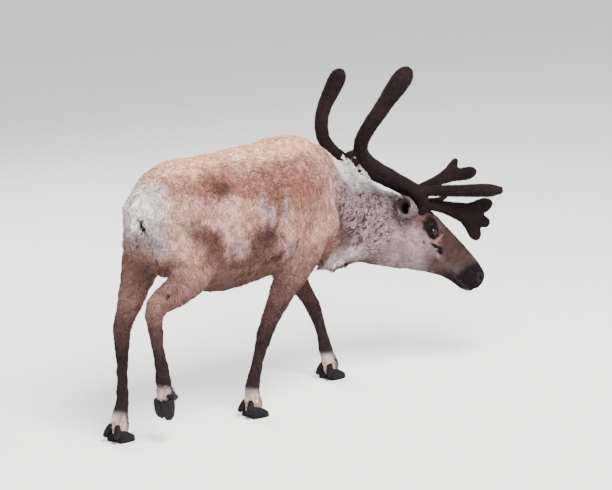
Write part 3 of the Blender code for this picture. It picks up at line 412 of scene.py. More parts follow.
# Materials.
class Graph:
    """Short ways to add and join the nodes of one material."""

    def __init__(self, name):
        self.material = bpy.data.materials.new(name)
        self.material.use_nodes = True
        self.tree = self.material.node_tree
        self.shader = self.tree.nodes["Principled BSDF"]

    def put(self, socket, value):
        if isinstance(value, bpy.types.NodeSocket):
            self.tree.links.new(value, socket)
        elif hasattr(value, "__len__") and len(socket.default_value) == 4:
            socket.default_value = (*value[:3], 1.0)
        else:
            socket.default_value = value

    def add(self, kind, inputs, output=0, **choices):
        node = self.tree.nodes.new("ShaderNode" + kind)
        for name, value in choices.items():
            setattr(node, name, value)
        for key, value in inputs.items():
            self.put(node.inputs[key], value)
        return node.outputs[output]

    def math(self, operation, a, b=0.0):
        return self.add("Math", {0: a, 1: b}, operation=operation)

    def vector(self, operation, a, b):
        return self.add("VectorMath", {0: a, 1: b}, operation=operation)

    def ramp(self, value, start, end, low=0.0, high=1.0):
        inputs = {"Value": value, "From Min": start, "From Max": end, "To Min": low, "To Max": high}
        return self.add("MapRange", inputs, interpolation_type="SMOOTHSTEP")

    def mix(self, share, a, b, blend="MIX"):
        node = self.tree.nodes.new("ShaderNodeMix")
        node.data_type = "RGBA"
        node.blend_type = blend
        self.put(node.inputs["Factor"], share)
        self.put(node.inputs["A"], a)
        self.put(node.inputs["B"], b)
        return node.outputs["Result"]

    def noise(self, place, scale, detail=3.0, roughness=0.55, output=0):
        inputs = {"Vector": place, "Scale": scale, "Detail": detail, "Roughness": roughness}
        return self.add("TexNoise", inputs, output)

    def shaken(self, place, scale, roughness, reach):
        """Places moved about at random by up to half the reach, for ragged edges."""
        way = self.vector("SUBTRACT", self.noise(place, scale, 4.0, roughness, "Color"), (0.5, 0.5, 0.5))
        return self.vector("ADD", place, self.vector("MULTIPLY", way, (reach, reach, reach)))

    def mapped(self, kind, place, **inputs):
        return self.add("Mapping", {"Vector": place, **inputs}, vector_type=kind)

    def length(self, value):
        return self.add("VectorMath", {0: value}, "Value", operation="LENGTH")

    def axis(self, place, letter):
        return self.add("SeparateXYZ", {0: place}, letter)

    def rising(self, value, slope, start):
        return self.add("Math", {0: value, 1: slope, 2: start}, operation="MULTIPLY_ADD")

    def scaled(self, tone, level):
        return self.add("VectorMath", {0: tone, "Scale": level}, operation="SCALE")

    def attribute(self, name, output="Fac"):
        return self.add("Attribute", {}, output, attribute_name=name)

    def bump(self, height, distance, strength=1.0, below=None):
        inputs = {"Height": height, "Distance": distance, "Strength": strength}
        if below is not None:
            inputs["Normal"] = below
        return self.add("Bump", inputs)

    def finish(self, **sockets):
        for name, value in sockets.items():
            self.put(self.shader.inputs[name.replace("_", " ")], value)
        return self.material


# Marks of the coat: middle, half sizes, tilt about Y in degrees, colour, strength and how soft the
# edge is. Those of the trunk are alike on both sides.
TRUNK_MARKS = [
    ((-0.35, 0, 1.12), (0.62, 0.13, 0.085), 2, "cream", 0.95, 0.45),
    ((-0.05, 0, 1.1), (0.2, 0.17, 0.09), 0, "cream", 0.9, 0.45),
    ((-0.39, 0.16, 0.985), (0.36, 0.1, 0.085), 8, "tan", 0.75, 0.5),
    ((-0.15, 0.16, 0.9), (0.11, 0.1, 0.15), 10, "tan", 0.6, 0.5),
    ((-0.575, 0.15, 1.01), (0.065, 0.07, 0.04), 35, "brown", 0.8, 0.7),
    ((-0.69, 0.19, 0.825), (0.095, 0.1, 0.05), 37, "umber", 0.97, 0.6),
    ((-0.655, 0.2, 0.75), (0.09, 0.1, 0.05), 20, "umber", 0.88, 0.7),
    ((-0.57, 0.2, 0.84), (0.035, 0.09, 0.11), 8, "pale", 0.85, 0.6),
    ((-0.49, 0.2, 0.915), (0.075, 0.09, 0.03), 20, "pale", 0.8, 0.6),
    ((-0.77, 0.17, 0.93), (0.08, 0.09, 0.07), 0, "pale", 0.6, 0.7),
    ((-0.43, 0.22, 0.75), (0.08, 0.1, 0.08), -10, "brown", 0.86, 0.6),
    ((-0.395, 0.22, 0.79), (0.035, 0.1, 0.06), 10, "brown", 0.75, 0.6),
    ((-0.5, 0.2, 0.685), (0.11, 0.12, 0.035), 5, "brown", 0.8, 0.6),
    ((-0.34, 0.21, 0.89), (0.055, 0.1, 0.08), 14, "umber", 0.7, 0.6),
    ((-0.408, 0.21, 0.905), (0.016, 0.09, 0.055), 22, "ash", 0.95, 0.6),
    ((-0.378, 0.22, 0.85), (0.014, 0.09, 0.05), 16, "ash", 0.9, 0.6),
    ((-0.305, 0.21, 0.88), (0.016, 0.09, 0.06), 25, "ash", 0.9, 0.6),
    ((-0.53, 0.2, 0.735), (0.035, 0.09, 0.032), 0, "ash", 0.75, 0.6),
    ((-0.47, 0.18, 0.64), (0.18, 0.14, 0.045), 6, "umber", 0.7, 0.6),
    ((-0.46, 0, 0.585), (0.28, 0.18, 0.06), 2, "brown", 0.9, 0.5),
    ((-0.262, 0.2, 0.7), (0.042, 0.08, 0.042), 0, "ash", 0.95, 0.5),
    ((0.055, 0.11, 0.87), (0.024, 0.09, 0.17), -8, "pale", 0.9, 0.6),
    ((-0.85, 0.09, 0.68), (0.095, 0.12, 0.075), 0, "umber", 0.75, 0.8),
    ((-0.895, 0.06, 0.85), (0.058, 0.1, 0.075), 0, "rump", 0.85, 0.8),
    ((-0.885, 0.03, 0.99), (0.065, 0.1, 0.085), 20, "white", 1, 0.8),
    ((-0.92, 0.02, 0.905), (0.06, 0.07, 0.07), 0, "white", 1, 0.7),
    # Painted shade in the creases round the elbow and in the flank fold.
    ((-0.322, 0.22, 0.757), (0.022, 0.06, 0.02), 38, "line", 0.85, 0.8),
    ((-0.365, 0.2, 0.677), (0.048, 0.07, 0.015), -40, "line", 1, 0.6),
    ((-0.238, 0.21, 0.715), (0.01, 0.06, 0.028), 0, "line", 0.9, 0.6),
    ((-0.555, 0.2, 0.676), (0.045, 0.07, 0.009), 5, "brown", 0.85, 0.6),
]

# Marks that only the right side has: a near-black line with a brown lower end beside the tail, painted shade
# of the tail and of the crease there, and spots on rump and hock.
RIGHT_MARKS = [
    ((-0.878, -0.032, 0.968), (0.04, 0.007, 0.026), 0, "line", 0.95, 0.5),
    ((-0.897, -0.026, 0.925), (0.04, 0.012, 0.03), 0, "line", 1, 0.45),
    ((-0.89, -0.027, 0.88), (0.04, 0.01, 0.034), 0, "line", 1, 0.45),
    ((-0.88, -0.042, 0.836), (0.04, 0.007, 0.03), 0, "line", 0.95, 0.5),
    ((-0.877, -0.056, 0.806), (0.04, 0.007, 0.026), 0, "line", 0.8, 0.6),
    ((-0.872, -0.076, 0.77), (0.04, 0.007, 0.026), 0, "brown", 0.9, 0.6),
    ((-0.892, 0.055, 0.93), (0.03, 0.007, 0.03), 0, "tan", 0.8, 0.6),
    ((-0.886, -0.16, 0.615), (0.016, 0.016, 0.009), 0, "line", 0.9, 0.6),
]

NECK_MARKS = [
    ((0.27, -0.03, 0.93), (0.27, 0.13, 0.085), 36, "white", 1, 0.3),
    ((0.15, -0.02, 0.56), (0.13, 0.12, 0.05), 0, "frost", 0.9, 0.5),
    ((0.115, -0.1, 0.66), (0.035, 0.09, 0.1), -10, "brown", 0.7, 0.6),
    ((0.105, -0.1, 0.83), (0.014, 0.09, 0.13), -6, "brown", 0.75, 0.6),
    ((0.33, -0.12, 0.53), (0.12, 0.12, 0.035), -8, "umber", 0.55, 0.6),
]

# The same on the head, in the head's frame.
HEAD_MARKS = [
    ((0.3, 0, -0.02), (0.155, 0.14, 0.105), 8, "face", 0.96, 0.45),
    ((0.215, 0.09, -0.14), (0.11, 0.08, 0.06), 0, "cheek", 0.8, 0.6),
    ((0.32, 0.05, -0.135), (0.1, 0.08, 0.045), 5, "jaw", 0.9, 0.6),
    ((0.1, 0.04, -0.03), (0.07, 0.09, 0.05), 20, "brow", 0.85, 0.5),
    ((0.11, 0, 0.03), (0.08, 0.07, 0.05), 10, "face", 0.85, 0.5),
    ((0.37, 0, 0.04), (0.1, 0.035, 0.03), 0, "muzzle", 0.9, 0.5),
    ((0.5, 0, -0.07), (0.115, 0.12, 0.105), 0, "muzzle", 1, 0.2),
    ((0.42, 0, -0.125), (0.07, 0.09, 0.035), 0, "muzzle", 0.9, 0.35),
    ((0.155, 0.075, -0.028), (0.046, 0.05, 0.04), 32, "black", 1, 0.32),
    ((0.19, 0.075, -0.05), (0.023, 0.035, 0.022), -30, "black", 1, 0.35),
    ((0.218, 0.07, -0.062), (0.026, 0.03, 0.008), -45, "pink", 0.42, 0.7),
    ((0.224, 0.065, -0.032), (0.005, 0.03, 0.018), 12, "pink", 0.5, 0.6),
    # Painted shade in the slit of the gland before the eye.
    ((0.23, 0.07, -0.076), (0.028, 0.03, 0.0065), -15, "line", 1, 0.3),
    ((0.268, 0.065, -0.078), (0.018, 0.03, 0.013), 30, "line", 1, 0.25),
    ((0.274, 0.065, -0.099), (0.016, 0.03, 0.0045), 20, "frost", 0.26, 0.6),
    ((0.178, 0.08, -0.106), (0.01, 0.03, 0.007), 0, "black", 0.85, 0.4),
    ((0.526, 0, -0.062), (0.014, 0.05, 0.01), 60, "rim", 0.85, 0.4),
    ((0.49, 0, -0.118), (0.024, 0.04, 0.01), -20, "cheek", 0.6, 0.5),
    ((0.43, 0.045, -0.108), (0.06, 0.03, 0.005), 2, "rim", 0.75, 0.4),
    ((0.488, 0.04, -0.034), (0.022, 0.02, 0.018), 40, "rim", 0.7, 0.4),
    # Painted shade in the parting of the lips and in the nostril.
    ((0.435, 0.045, -0.0995), (0.066, 0.03, 0.0034), -2, "line", 1, 0.4),
    ((0.493, 0.032, -0.038), (0.014, 0.016, 0.009), 40, "line", 1, 0.35),
]

# Colours of the marks that aren't among the settings.
PALETTE = {
    "tan": (0.19, 0.078, 0.053), "umber": (0.09, 0.042, 0.031), "pale": (0.52, 0.32, 0.265),
    "ash": (0.38, 0.27, 0.285), "thigh": (0.17, 0.088, 0.075), "leg": (0.075, 0.037, 0.036),
    "cannon": (0.022, 0.012, 0.014), "face": (0.044, 0.022, 0.019), "cheek": (0.36, 0.255, 0.28),
    "frost": (0.64, 0.56, 0.57), "muzzle": (0.0038, 0.0022, 0.0042), "rim": (0.04, 0.026, 0.034),
    # The line colour is near-black painted shade in creases, slits, the mouth and the nostrils, and also
    # marks a spot on the hock.
    "line": (0.0015, 0.001, 0.0014), "jaw": (0.058, 0.032, 0.029), "pink": (0.4, 0.215, 0.18),
    "brow": (0.125, 0.064, 0.05), "rump": (0.42, 0.35, 0.4),
}


def colour(name):
    if name in PALETTE:
        return PALETTE[name]
    return tuple(getattr(setting("coat"), name))


def with_mark(graph, below, place, middle, half_sizes, tilt, tone, strength, edge):
    """Lay one soft-edged mark over the colours below."""
    turn = (0.0, math.radians(tilt), 0.0)
    inside = graph.mapped("TEXTURE", place, Location=middle, Rotation=turn, Scale=half_sizes)
    share = graph.ramp(graph.length(inside), 1.0 + edge, 1.0 - edge, 0.0, strength)
    return graph.mix(share, below, colour(tone))


def marked(graph, tone, place, marks):
    for mark in marks:
        tone = with_mark(graph, tone, place, *mark)
    return tone


def folded(graph, place):
    """The same place on the animal's left side, so that both sides are marked alike."""
    across = graph.math("ABSOLUTE", graph.axis(place, "Y"))
    return graph.add("CombineXYZ", {"X": graph.axis(place, "X"), "Y": across, "Z": graph.axis(place, "Z")})


def coat_material(name, relief):
    """Hair coloured by where its root stands, for the skin and for every tuft."""
    graph = Graph(name)
    root = graph.attribute("root_place", "Vector")
    place = graph.vector("SUBTRACT", root, tuple(ORIGIN))
    moved = graph.shaken(place, 7.0, 0.6, 0.16)
    broad = graph.ramp(graph.noise(place, 5.0, 5.0, 0.65), 0.35, 0.65)
    tone = graph.mix(broad, colour("fawn"), colour("pale"))
    tone = marked(graph, tone, folded(graph, moved), TRUNK_MARKS)
    tone = leg_tones(graph, tone, moved, place)
    tone = marked(graph, tone, moved, RIGHT_MARKS)
    tone = neck_tones(graph, tone, place, moved)
    tone = head_tones(graph, tone, place)
    patchy = graph.noise(place, 38.0, 4.0, 0.6)
    tone = graph.mix(graph.ramp(patchy, 0.3, 0.68, 0.5, 0.0), tone, (0.2, 0.12, 0.1), "MULTIPLY")
    flecks = graph.noise(place, 150.0, 2.0, 0.5)
    tone = graph.mix(graph.ramp(flecks, 0.54, 0.68, 0.0, 0.42), tone, colour("brown"))
    strands = graph.mapped("POINT", place, Rotation=(0.0, 0.5, 0.0), Scale=(0.45, 1.0, 1.0))
    strands = graph.math("MULTIPLY", graph.ramp(graph.noise(strands, 62.0, 4.0, 0.7), 0.57, 0.66),
                         graph.ramp(graph.noise(place, 8.0, 2.0, 0.5), 0.42, 0.6, 0.25, 1.0))
    tone = graph.mix(graph.math("MULTIPLY", strands, 0.62), tone, colour("brown"))
    # Painted shade inside the ears, deepest at the bottom of each hollow, with a dark ring at the rim.
    tone = graph.mix(graph.attribute("inner"), tone, (0.034, 0.022, 0.027))
    tip = graph.ramp(graph.attribute("tip"), 0.0, 1.0, 0.74, 1.1)
    tone = graph.scaled(tone, graph.math("MULTIPLY", graph.rising(graph.attribute("tint"), 0.44, 0.8), tip))
    if relief:
        stretched = graph.mapped("POINT", place, Scale=(1.0, 2.2, 2.2))
        hair = graph.noise(stretched, 260.0, 3.0, 0.6)
        clump = graph.noise(place, 60.0, 3.0, 0.6)
        normal = graph.bump(hair, 0.0015, 0.8, graph.bump(clump, 0.004, 0.5))
    else:
        normal = graph.bump(graph.noise(place, 420.0, 2.0, 0.5), 0.0006, 0.5)
    rough = graph.ramp(flecks, 0.3, 0.7, 0.74, 0.92)
    return graph.finish(Base_Color=tone, Roughness=rough, Normal=normal, Sheen_Weight=0.02,
                        Sheen_Roughness=0.45, Specular_IOR_Level=0.08)


def leg_tones(graph, tone, moved, place):
    """Legs darken down to the cannons and end in white hair over the hooves."""
    height = graph.axis(moved, "Z")
    tone = graph.mix(graph.ramp(height, 0.76, 0.6, 0.0, 0.85), tone, colour("thigh"))
    tone = graph.mix(graph.ramp(height, 0.62, 0.46), tone, colour("leg"))
    tone = graph.mix(graph.ramp(height, 0.47, 0.33), tone, colour("cannon"))
    for leg in LEGS:
        hooves = hooves_middle(leg)
        way = (node_centre("leg_" + leg + "_foot") - hooves).normalized()
        back = hooves + 0.045 * way - ORIGIN - Vector((0.022, 0.0, 0.0))
        tone = with_mark(graph, tone, place, back, (0.055, 0.08, 0.048), 24, "frost", 1.0, 0.4)
        tone = with_mark(graph, tone, place, back, (0.035, 0.06, 0.03), 24, "cream", 0.6, 0.5)
        front = hooves + 0.07 * way - ORIGIN + Vector((0.032, 0.0, 0.0))
        tone = with_mark(graph, tone, place, front, (0.028, 0.06, 0.08), 14, "cannon", 0.95, 0.3)
    return tone


def neck_tones(graph, tone, place, moved):
    """Grey neck with dark streaks of painted shade in the crevices between its locks, a white crest and a
    pale throat.
    """
    ahead = graph.add("VectorMath", {0: moved, 1: (0.94, -0.05, -0.1)}, "Value", operation="DOT_PRODUCT")
    on_neck = graph.math("MULTIPLY", graph.ramp(ahead, 0.005, 0.045),
                         graph.ramp(graph.axis(moved, "Z"), 0.495, 0.535))
    neck = graph.mix(graph.noise(place, 9.0, 3.0, 0.6), colour("grey"), colour("ash"))
    stretched = graph.mapped("POINT", moved, Rotation=(0.0, math.radians(28.0), 0.0), Scale=(1.0, 1.4, 0.55))
    # Streaks of painted shade in the crevices between locks, strongest on the side of the neck.
    crevice_shade = graph.noise(stretched, 58.0, 5.0, 0.68)
    zone = graph.mapped("TEXTURE", place, Location=(0.235, -0.12, 0.73), Scale=(0.2, 0.17, 0.2))
    strength = graph.ramp(graph.length(zone), 1.25, 0.55, 0.25, 1.0)
    dark = graph.math("MULTIPLY", graph.ramp(crevice_shade, 0.51, 0.57), strength)
    neck = graph.mix(graph.math("MULTIPLY", dark, 0.88), neck, (0.018, 0.012, 0.015))
    return graph.mix(on_neck, tone, marked(graph, neck, moved, NECK_MARKS))


def head_tones(graph, tone, place):
    """Brown face, grey cheeks, black muzzle and black round the eyes."""
    turn = MAKER_HEAD.to_euler()
    spot = graph.mapped("TEXTURE", place, Location=tuple(POLL), Rotation=tuple(turn))
    spot = folded(graph, graph.shaken(spot, 36.0, 0.65, 0.03))
    on_head = graph.math("MULTIPLY", graph.ramp(graph.axis(spot, "X"), 0.02, 0.12),
                         graph.ramp(graph.axis(place, "X"), 0.28, 0.34))
    head = graph.mix(graph.noise(place, 30.0, 3.0, 0.6), colour("cheek"), colour("grey"))
    return graph.mix(on_head, tone, marked(graph, head, spot, HEAD_MARKS))


def velvet_material():
    """Soft dark hair over the antlers, lighter where its tips catch the light."""
    graph = Graph("antler_velvet")
    dark, light = tuple(setting("velvet").dark), tuple(setting("velvet").light)
    root = graph.attribute("root_place", "Vector")
    broad = graph.ramp(graph.noise(root, 9.0, 4.0, 0.6), 0.35, 0.68)
    tone = graph.mix(graph.math("MULTIPLY", broad, 0.55), dark, light)
    fine = graph.ramp(graph.noise(root, 320.0, 3.0, 0.6), 0.4, 0.7, 0.0, 0.45)
    tone = graph.mix(fine, tone, light)
    tone = graph.mix(graph.math("MULTIPLY", graph.attribute("tip"), 0.55), tone, light)
    tone = graph.scaled(tone, graph.rising(graph.attribute("tint"), 0.7, 0.62))
    lumps = graph.noise(root, 45.0, 4.0, 0.6)
    hairs = graph.noise(root, 480.0, 2.0, 0.6)
    normal = graph.bump(hairs, 0.0012, 0.9, graph.bump(lumps, 0.003, 0.35))
    rough = graph.ramp(graph.noise(root, 60.0), 0.3, 0.7, 0.72, 0.95)
    return graph.finish(Base_Color=tone, Roughness=rough, Normal=normal, Sheen_Weight=0.02,
                        Sheen_Roughness=0.35, Sheen_Tint=(0.95, 0.72, 0.74), Specular_IOR_Level=0.08)


def horn_material():
    """Dull hoof horn with fine growth rings, scratches and patches of dust."""
    graph = Graph("hoof_horn")
    place = graph.attribute("root_place", "Vector")
    settings = setting("horn")
    height = graph.axis(place, "Z")
    wave = graph.add("Math", {0: graph.math("MULTIPLY", height, 1900.0)}, operation="SINE")
    worn = graph.noise(place, 60.0, 5.0, 0.65)
    tone = graph.mix(graph.ramp(worn, 0.45, 0.72), tuple(settings.colour), (0.0125, 0.0105, 0.0115))
    dust = graph.ramp(graph.noise(place, 22.0, 4.0, 0.6), 0.45, 0.75, 0.0, 0.4)
    tone = graph.mix(dust, tone, (0.02, 0.016, 0.0135))
    scratches = graph.noise(graph.mapped("POINT", place, Scale=(1.0, 1.0, 0.15)), 420.0, 2.0, 0.6)
    normal = graph.bump(wave, 0.0004, 0.5, graph.bump(scratches, 0.0005, 0.6, graph.bump(worn, 0.002, 0.4)))
    rough = graph.ramp(worn, 0.3, 0.7, 0.42, 0.72)
    return graph.finish(Base_Color=tone, Roughness=rough, Normal=normal, Specular_IOR_Level=0.09)


def eye_material():
    """Wet dark eye: a long pupil in a brown iris under a clear front."""
    graph = Graph("wet_eye")
    across = graph.attribute("across", "Vector")
    from_pupil = graph.length(graph.vector("MULTIPLY", across, (0.55, 1.0, 0.0)))
    from_middle = graph.length(across)
    rays = graph.noise(graph.vector("MULTIPLY", across, (60.0, 60.0, 60.0)), 6.0, 4.0, 0.7)
    iris = graph.mix(rays, tuple(setting("horn").iris), (0.018, 0.008, 0.004))
    tone = graph.mix(graph.ramp(from_pupil, 0.22, 0.3), (0.002, 0.002, 0.003), iris)
    tone = graph.mix(graph.ramp(from_middle, 0.66, 0.76), tone, (0.012, 0.008, 0.008))
    normal = graph.bump(rays, 0.0001, 0.2)
    rough = graph.ramp(from_middle, 0.6, 1.0, 0.05, 0.16)
    return graph.finish(Base_Color=tone, Roughness=rough, Normal=normal,
                        Coat_Weight=0.12, Coat_Roughness=0.03, Specular_IOR_Level=0.14)


def floor_material():
    """Matt pale studio floor with a faint mottle."""
    graph = Graph("studio_floor")
    place = graph.add("TexCoord", {}, "Object")
    pale = tuple(setting("studio").floor)
    worn = tuple(0.94 * part for part in pale)
    tone = graph.mix(graph.noise(place, 1.4, 3.0, 0.5), pale, worn)
    normal = graph.bump(graph.noise(place, 90.0), 0.001, 0.2)
    return graph.finish(Base_Color=tone, Roughness=0.85, Normal=normal)


# Skin.
def eye_axes(side):
    """Middle of an eye and its outward, forward and upward ways, as arrays in the row frame."""
    middle = HEAD @ Vector((EYE_PLACE.x, EYE_PLACE.y * side, EYE_PLACE.z))
    turn = HEAD.to_3x3()
    out = (turn @ Vector((0.26, side * 0.93, 0.26))).normalized()
    ahead = turn @ Vector((0.93, 0.0, -0.36))
    ahead = (ahead - out * ahead.dot(out)).normalized()
    up = out.cross(ahead) * side
    return [np.array(vector) for vector in (middle, out, ahead, up)]


def press_lids(points, side):
    """Draw the skin over the eye as two lids with an almond opening between them."""
    settings = setting("skin")
    middle, out, ahead, up = eye_axes(side)
    offset = points - middle
    distance = np.linalg.norm(offset, axis=1)
    near = (distance < 2.4 * EYE_RADIUS) & (offset @ out > 0.0)
    a = (offset @ ahead)[near] / settings.opening
    b = (offset @ up)[near] / settings.opening
    rise = np.where(b > 0, 0.62, 0.42) * np.sqrt(np.clip(1.0 - a * a, 0.0, 1.0))
    gap = np.where(np.abs(a) < 1.0, np.abs(b) - rise, np.hypot(np.abs(a) - 1.0, b))
    closed = smooth_step(gap, -0.04, 0.06)
    lid = EYE_RADIUS + settings.lid * (1.0 + 0.9 * np.exp(-((gap - 0.12) / 0.14) ** 2))
    crease = -0.0022 * np.exp(-((gap - 0.52) / 0.09) ** 2) * (b > 0)
    fold = crease + 0.0016 * np.exp(-((gap - 0.8) / 0.16) ** 2)
    wanted = np.where(closed > 0, (lid + fold) * closed + (EYE_RADIUS - 0.009) * (1.0 - closed), 0.0)
    keep = smooth_step(distance[near], 1.25 * EYE_RADIUS, 2.1 * EYE_RADIUS)
    radius = wanted * (1.0 - keep) + distance[near] * keep
    points[near] = middle + offset[near] / distance[near][:, None] * radius[:, None]


def line_reach(points, path):
    """Distance of each point from a bent line."""
    path = np.array(path)
    best = np.full(len(points), 1e9)
    for a, b in zip(path, path[1:]):
        along = np.clip((points - a) @ (b - a) / ((b - a) @ (b - a)), 0.0, 1.0)
        best = np.minimum(best, np.linalg.norm(points - a - along[:, None] * (b - a), axis=1))
    return best


# Lines on the right side of the face in the head's frame: path, half width, depth (less than 0 stands out).
FACE_LINES = [
    ([(0.372, -0.05, -0.1), (0.42, -0.046, -0.101), (0.462, -0.044, -0.098), (0.495, -0.034, -0.09),
      (0.515, -0.012, -0.084)], 0.0032, 0.0048),
    ([(0.38, -0.05, -0.106), (0.43, -0.045, -0.109), (0.475, -0.04, -0.106)], 0.006, -0.0022),
    ([(0.498, -0.02, -0.046), (0.493, -0.034, -0.04), (0.484, -0.043, -0.028)], 0.0055, 0.011),
    ([(0.505, -0.026, -0.052), (0.5, -0.042, -0.044), (0.486, -0.05, -0.026)], 0.005, -0.002),
    ([(0.207, -0.085, -0.082), (0.243, -0.08, -0.072), (0.274, -0.07, -0.076)], 0.0042, 0.0065),
    ([(0.212, -0.085, -0.068), (0.243, -0.08, -0.06), (0.282, -0.068, -0.062)], 0.005, -0.0024),
    ([(0.207, -0.085, -0.095), (0.243, -0.08, -0.086), (0.276, -0.07, -0.093)], 0.005, -0.0024),
    ([(0.512, -0.001, -0.052), (0.518, -0.001, -0.066), (0.518, -0.001, -0.08)], 0.0028, 0.003),
    ([(0.13, -0.07, -0.02), (0.16, -0.072, -0.004), (0.195, -0.068, -0.01)], 0.01, -0.003),
    ([(0.2, -0.085, -0.105), (0.26, -0.075, -0.11), (0.32, -0.062, -0.105)], 0.016, -0.003),
]


# Folds of the body's right side in the maker's frame: path, half width, depth (less than 0 stands out).
FOLDS = [
    ([(-0.885, -0.062, 0.985), (-0.898, -0.026, 0.915), (-0.884, -0.028, 0.845), (-0.862, -0.052, 0.77)],
     0.0085, 0.014),
    ([(-0.345, -0.228, 0.79), (-0.322, -0.228, 0.755), (-0.3, -0.215, 0.735)], 0.009, 0.008),
    ([(-0.41, -0.19, 0.64), (-0.365, -0.2, 0.68), (-0.325, -0.21, 0.7)], 0.011, 0.011),
    ([(-0.24, -0.215, 0.745), (-0.236, -0.205, 0.69)], 0.008, 0.007),
    ([(-0.6, -0.2, 0.69), (-0.52, -0.195, 0.665)], 0.009, 0.006),
    ([(-0.575, -0.2, 0.91), (-0.556, -0.205, 0.8), (-0.56, -0.203, 0.71)], 0.018, -0.006),
    ([(-0.6, -0.195, 0.9), (-0.585, -0.2, 0.8), (-0.59, -0.2, 0.72)], 0.014, 0.004),
    ([(0.02, -0.02, 1.07), (0.06, -0.109, 0.89), (0.03, -0.157, 0.736)], 0.018, -0.007),
    ([(0.06, -0.03, 1.04), (0.095, -0.105, 0.88), (0.066, -0.15, 0.736)], 0.011, 0.008),
    ([(-0.27, -0.2, 0.93), (-0.24, -0.215, 0.84), (-0.27, -0.22, 0.77)], 0.016, 0.005),
]


def press_folds(points, normals):
    """Folds of skin at tail, elbow, flank and shoulder, alike on both sides."""
    spot = points - np.array(ORIGIN)
    spot[:, 1] = -np.abs(spot[:, 1])
    shift = np.zeros(len(points))
    for path, width, depth in FOLDS:
        shift -= depth * np.exp(-((line_reach(spot, path) / width) ** 2))
    points += normals * shift[:, None]


def press_face(points, normals):
    """Mouth, lips, nostrils and the glands before the eyes, pressed into the skin."""
    spot = to_head(points)
    shift = np.zeros(len(points))
    for side in (1.0, -1.0):
        for path, width, depth in FACE_LINES:
            line = [(x, y * side, z) for x, y, z in path]
            shift -= depth * np.exp(-((line_reach(spot, line) / width) ** 2))
    on_face = smooth_step(spot[:, 0], 0.06, 0.12)
    points += normals * (shift * on_face)[:, None]


def finer(mesh, wanted):
    """Split each chosen face in four; wanted tells from places which points are chosen."""
    points = mesh_points(mesh)
    chosen = wanted(points)
    bm = bmesh.new()
    bm.from_mesh(mesh)
    bm.verts.ensure_lookup_table()
    edges = [edge for edge in bm.edges if chosen[edge.verts[0].index] and chosen[edge.verts[1].index]]
    bmesh.ops.subdivide_edges(bm, edges=edges, cuts=1, use_grid_fill=True)
    bm.to_mesh(mesh)
    bm.free()


def on_face(points):
    spot = to_head(points)
    return (spot[:, 0] > 0.09) & (np.abs(spot[:, 1]) < 0.13) & (spot[:, 2] > -0.22)


def on_features(points):
    spot = to_head(points)
    muzzle = (spot[:, 0] > 0.36) & (spot[:, 2] > -0.14)
    spot[:, 1] = np.abs(spot[:, 1])
    gland = line_reach(spot, [(0.21, 0.08, -0.08), (0.28, 0.07, -0.07)]) < 0.028
    return muzzle | gland | on_eyes(points)


def on_eyes(points):
    spot = to_head(points)
    spot[:, 1] = np.abs(spot[:, 1])
    return np.linalg.norm(spot - np.array(EYE_PLACE), axis=1) < 1.75 * EYE_RADIUS


def flesh_nodes():
    names = ["torso", "neck", "head", "tail", "ear_right", "ear_left"]
    return names + ["leg_" + leg + "_" + piece for leg in LEGS for piece in LEG_LIE]


def ear_skin(side):
    """One ear's smooth shell, thinned by the depth of its hair."""
    mesh = remeshed(merged_nodes(["ear_" + side], 0.0), 0.0026)
    relaxed(mesh, np.ones(len(mesh.vertices)), 6)
    points = mesh_points(mesh)
    set_mesh_points(mesh, points - mesh_normals(mesh) * 0.0006)
    return mesh


# Where the model carries locks, which the skin passes under: middle, reach.
LOCK_ZONES = [
    ((0.16, -0.015, 0.535), 0.16), ((0.3, -0.03, 0.9), 0.19), ((-0.93, 0, 0.89), 0.06),
]


def under_locks(points):
    share = np.zeros(len(points))
    for middle, reach in LOCK_ZONES:
        distance = np.linalg.norm(points - np.array(Vector(middle) + ORIGIN), axis=1)
        share = np.maximum(share, smooth_step(distance, reach, 0.7 * reach))
    return share


def build_skin():
    """One skin over trunk, neck, head, tail and legs, lying under the coat by its depth."""
    settings = setting("skin")
    names = [name for name in flesh_nodes() if not name.startswith("ear_")]
    mesh = remeshed(merged_nodes(names + ["eye_right", "eye_left"], 0.0004), settings.voxel)
    relaxed(mesh, under_locks(mesh_points(mesh)), 44, 0.0)
    points = mesh_points(mesh)
    legs = smooth_step(points[:, 2], 0.62, 0.5)
    relaxed(mesh, 1.0 - 0.55 * head_share(points) - 0.35 * legs, settings.rounds)
    finer(mesh, on_face)
    relaxed(mesh, on_face(mesh_points(mesh)) * 0.8, 3)
    finer(mesh, on_features)
    finer(mesh, on_eyes)
    relaxed(mesh, on_face(mesh_points(mesh)) * 0.8, 4)
    points, normals = mesh_points(mesh), mesh_normals(mesh)
    depth = coat_depth(points, normals)
    points -= normals * depth[:, None]
    points += normals * (0.0022 * waves(points, 0.055, 5) * (1.0 - 0.8 * head_share(points)))[:, None]
    press_folds(points, normals)
    press_face(points, normals)
    set_mesh_points(mesh, points)
    points = mesh_points(mesh)
    for side in (1.0, -1.0):
        press_lids(points, side)
    set_mesh_points(mesh, points)
    return mesh


def head_share(points):
    return smooth_step(to_head(points)[:, 0], -0.02, 0.1)


def unwrap(piece):
    """An unwrap of the skin's own shape, for the skin and for every tuft that grows from it."""
    bpy.context.view_layer.objects.active = piece
    piece.select_set(True)
    bpy.ops.object.mode_set(mode="EDIT")
    bpy.ops.mesh.select_all(action="SELECT")
    bpy.ops.uv.smart_project(
        angle_limit=math.radians(66.0), island_margin=0.001, rotate_method="AXIS_ALIGNED_Y")
    bpy.ops.object.mode_set(mode="OBJECT")
    piece.select_set(False)
    piece.data.uv_layers.active.name = "OFBake"


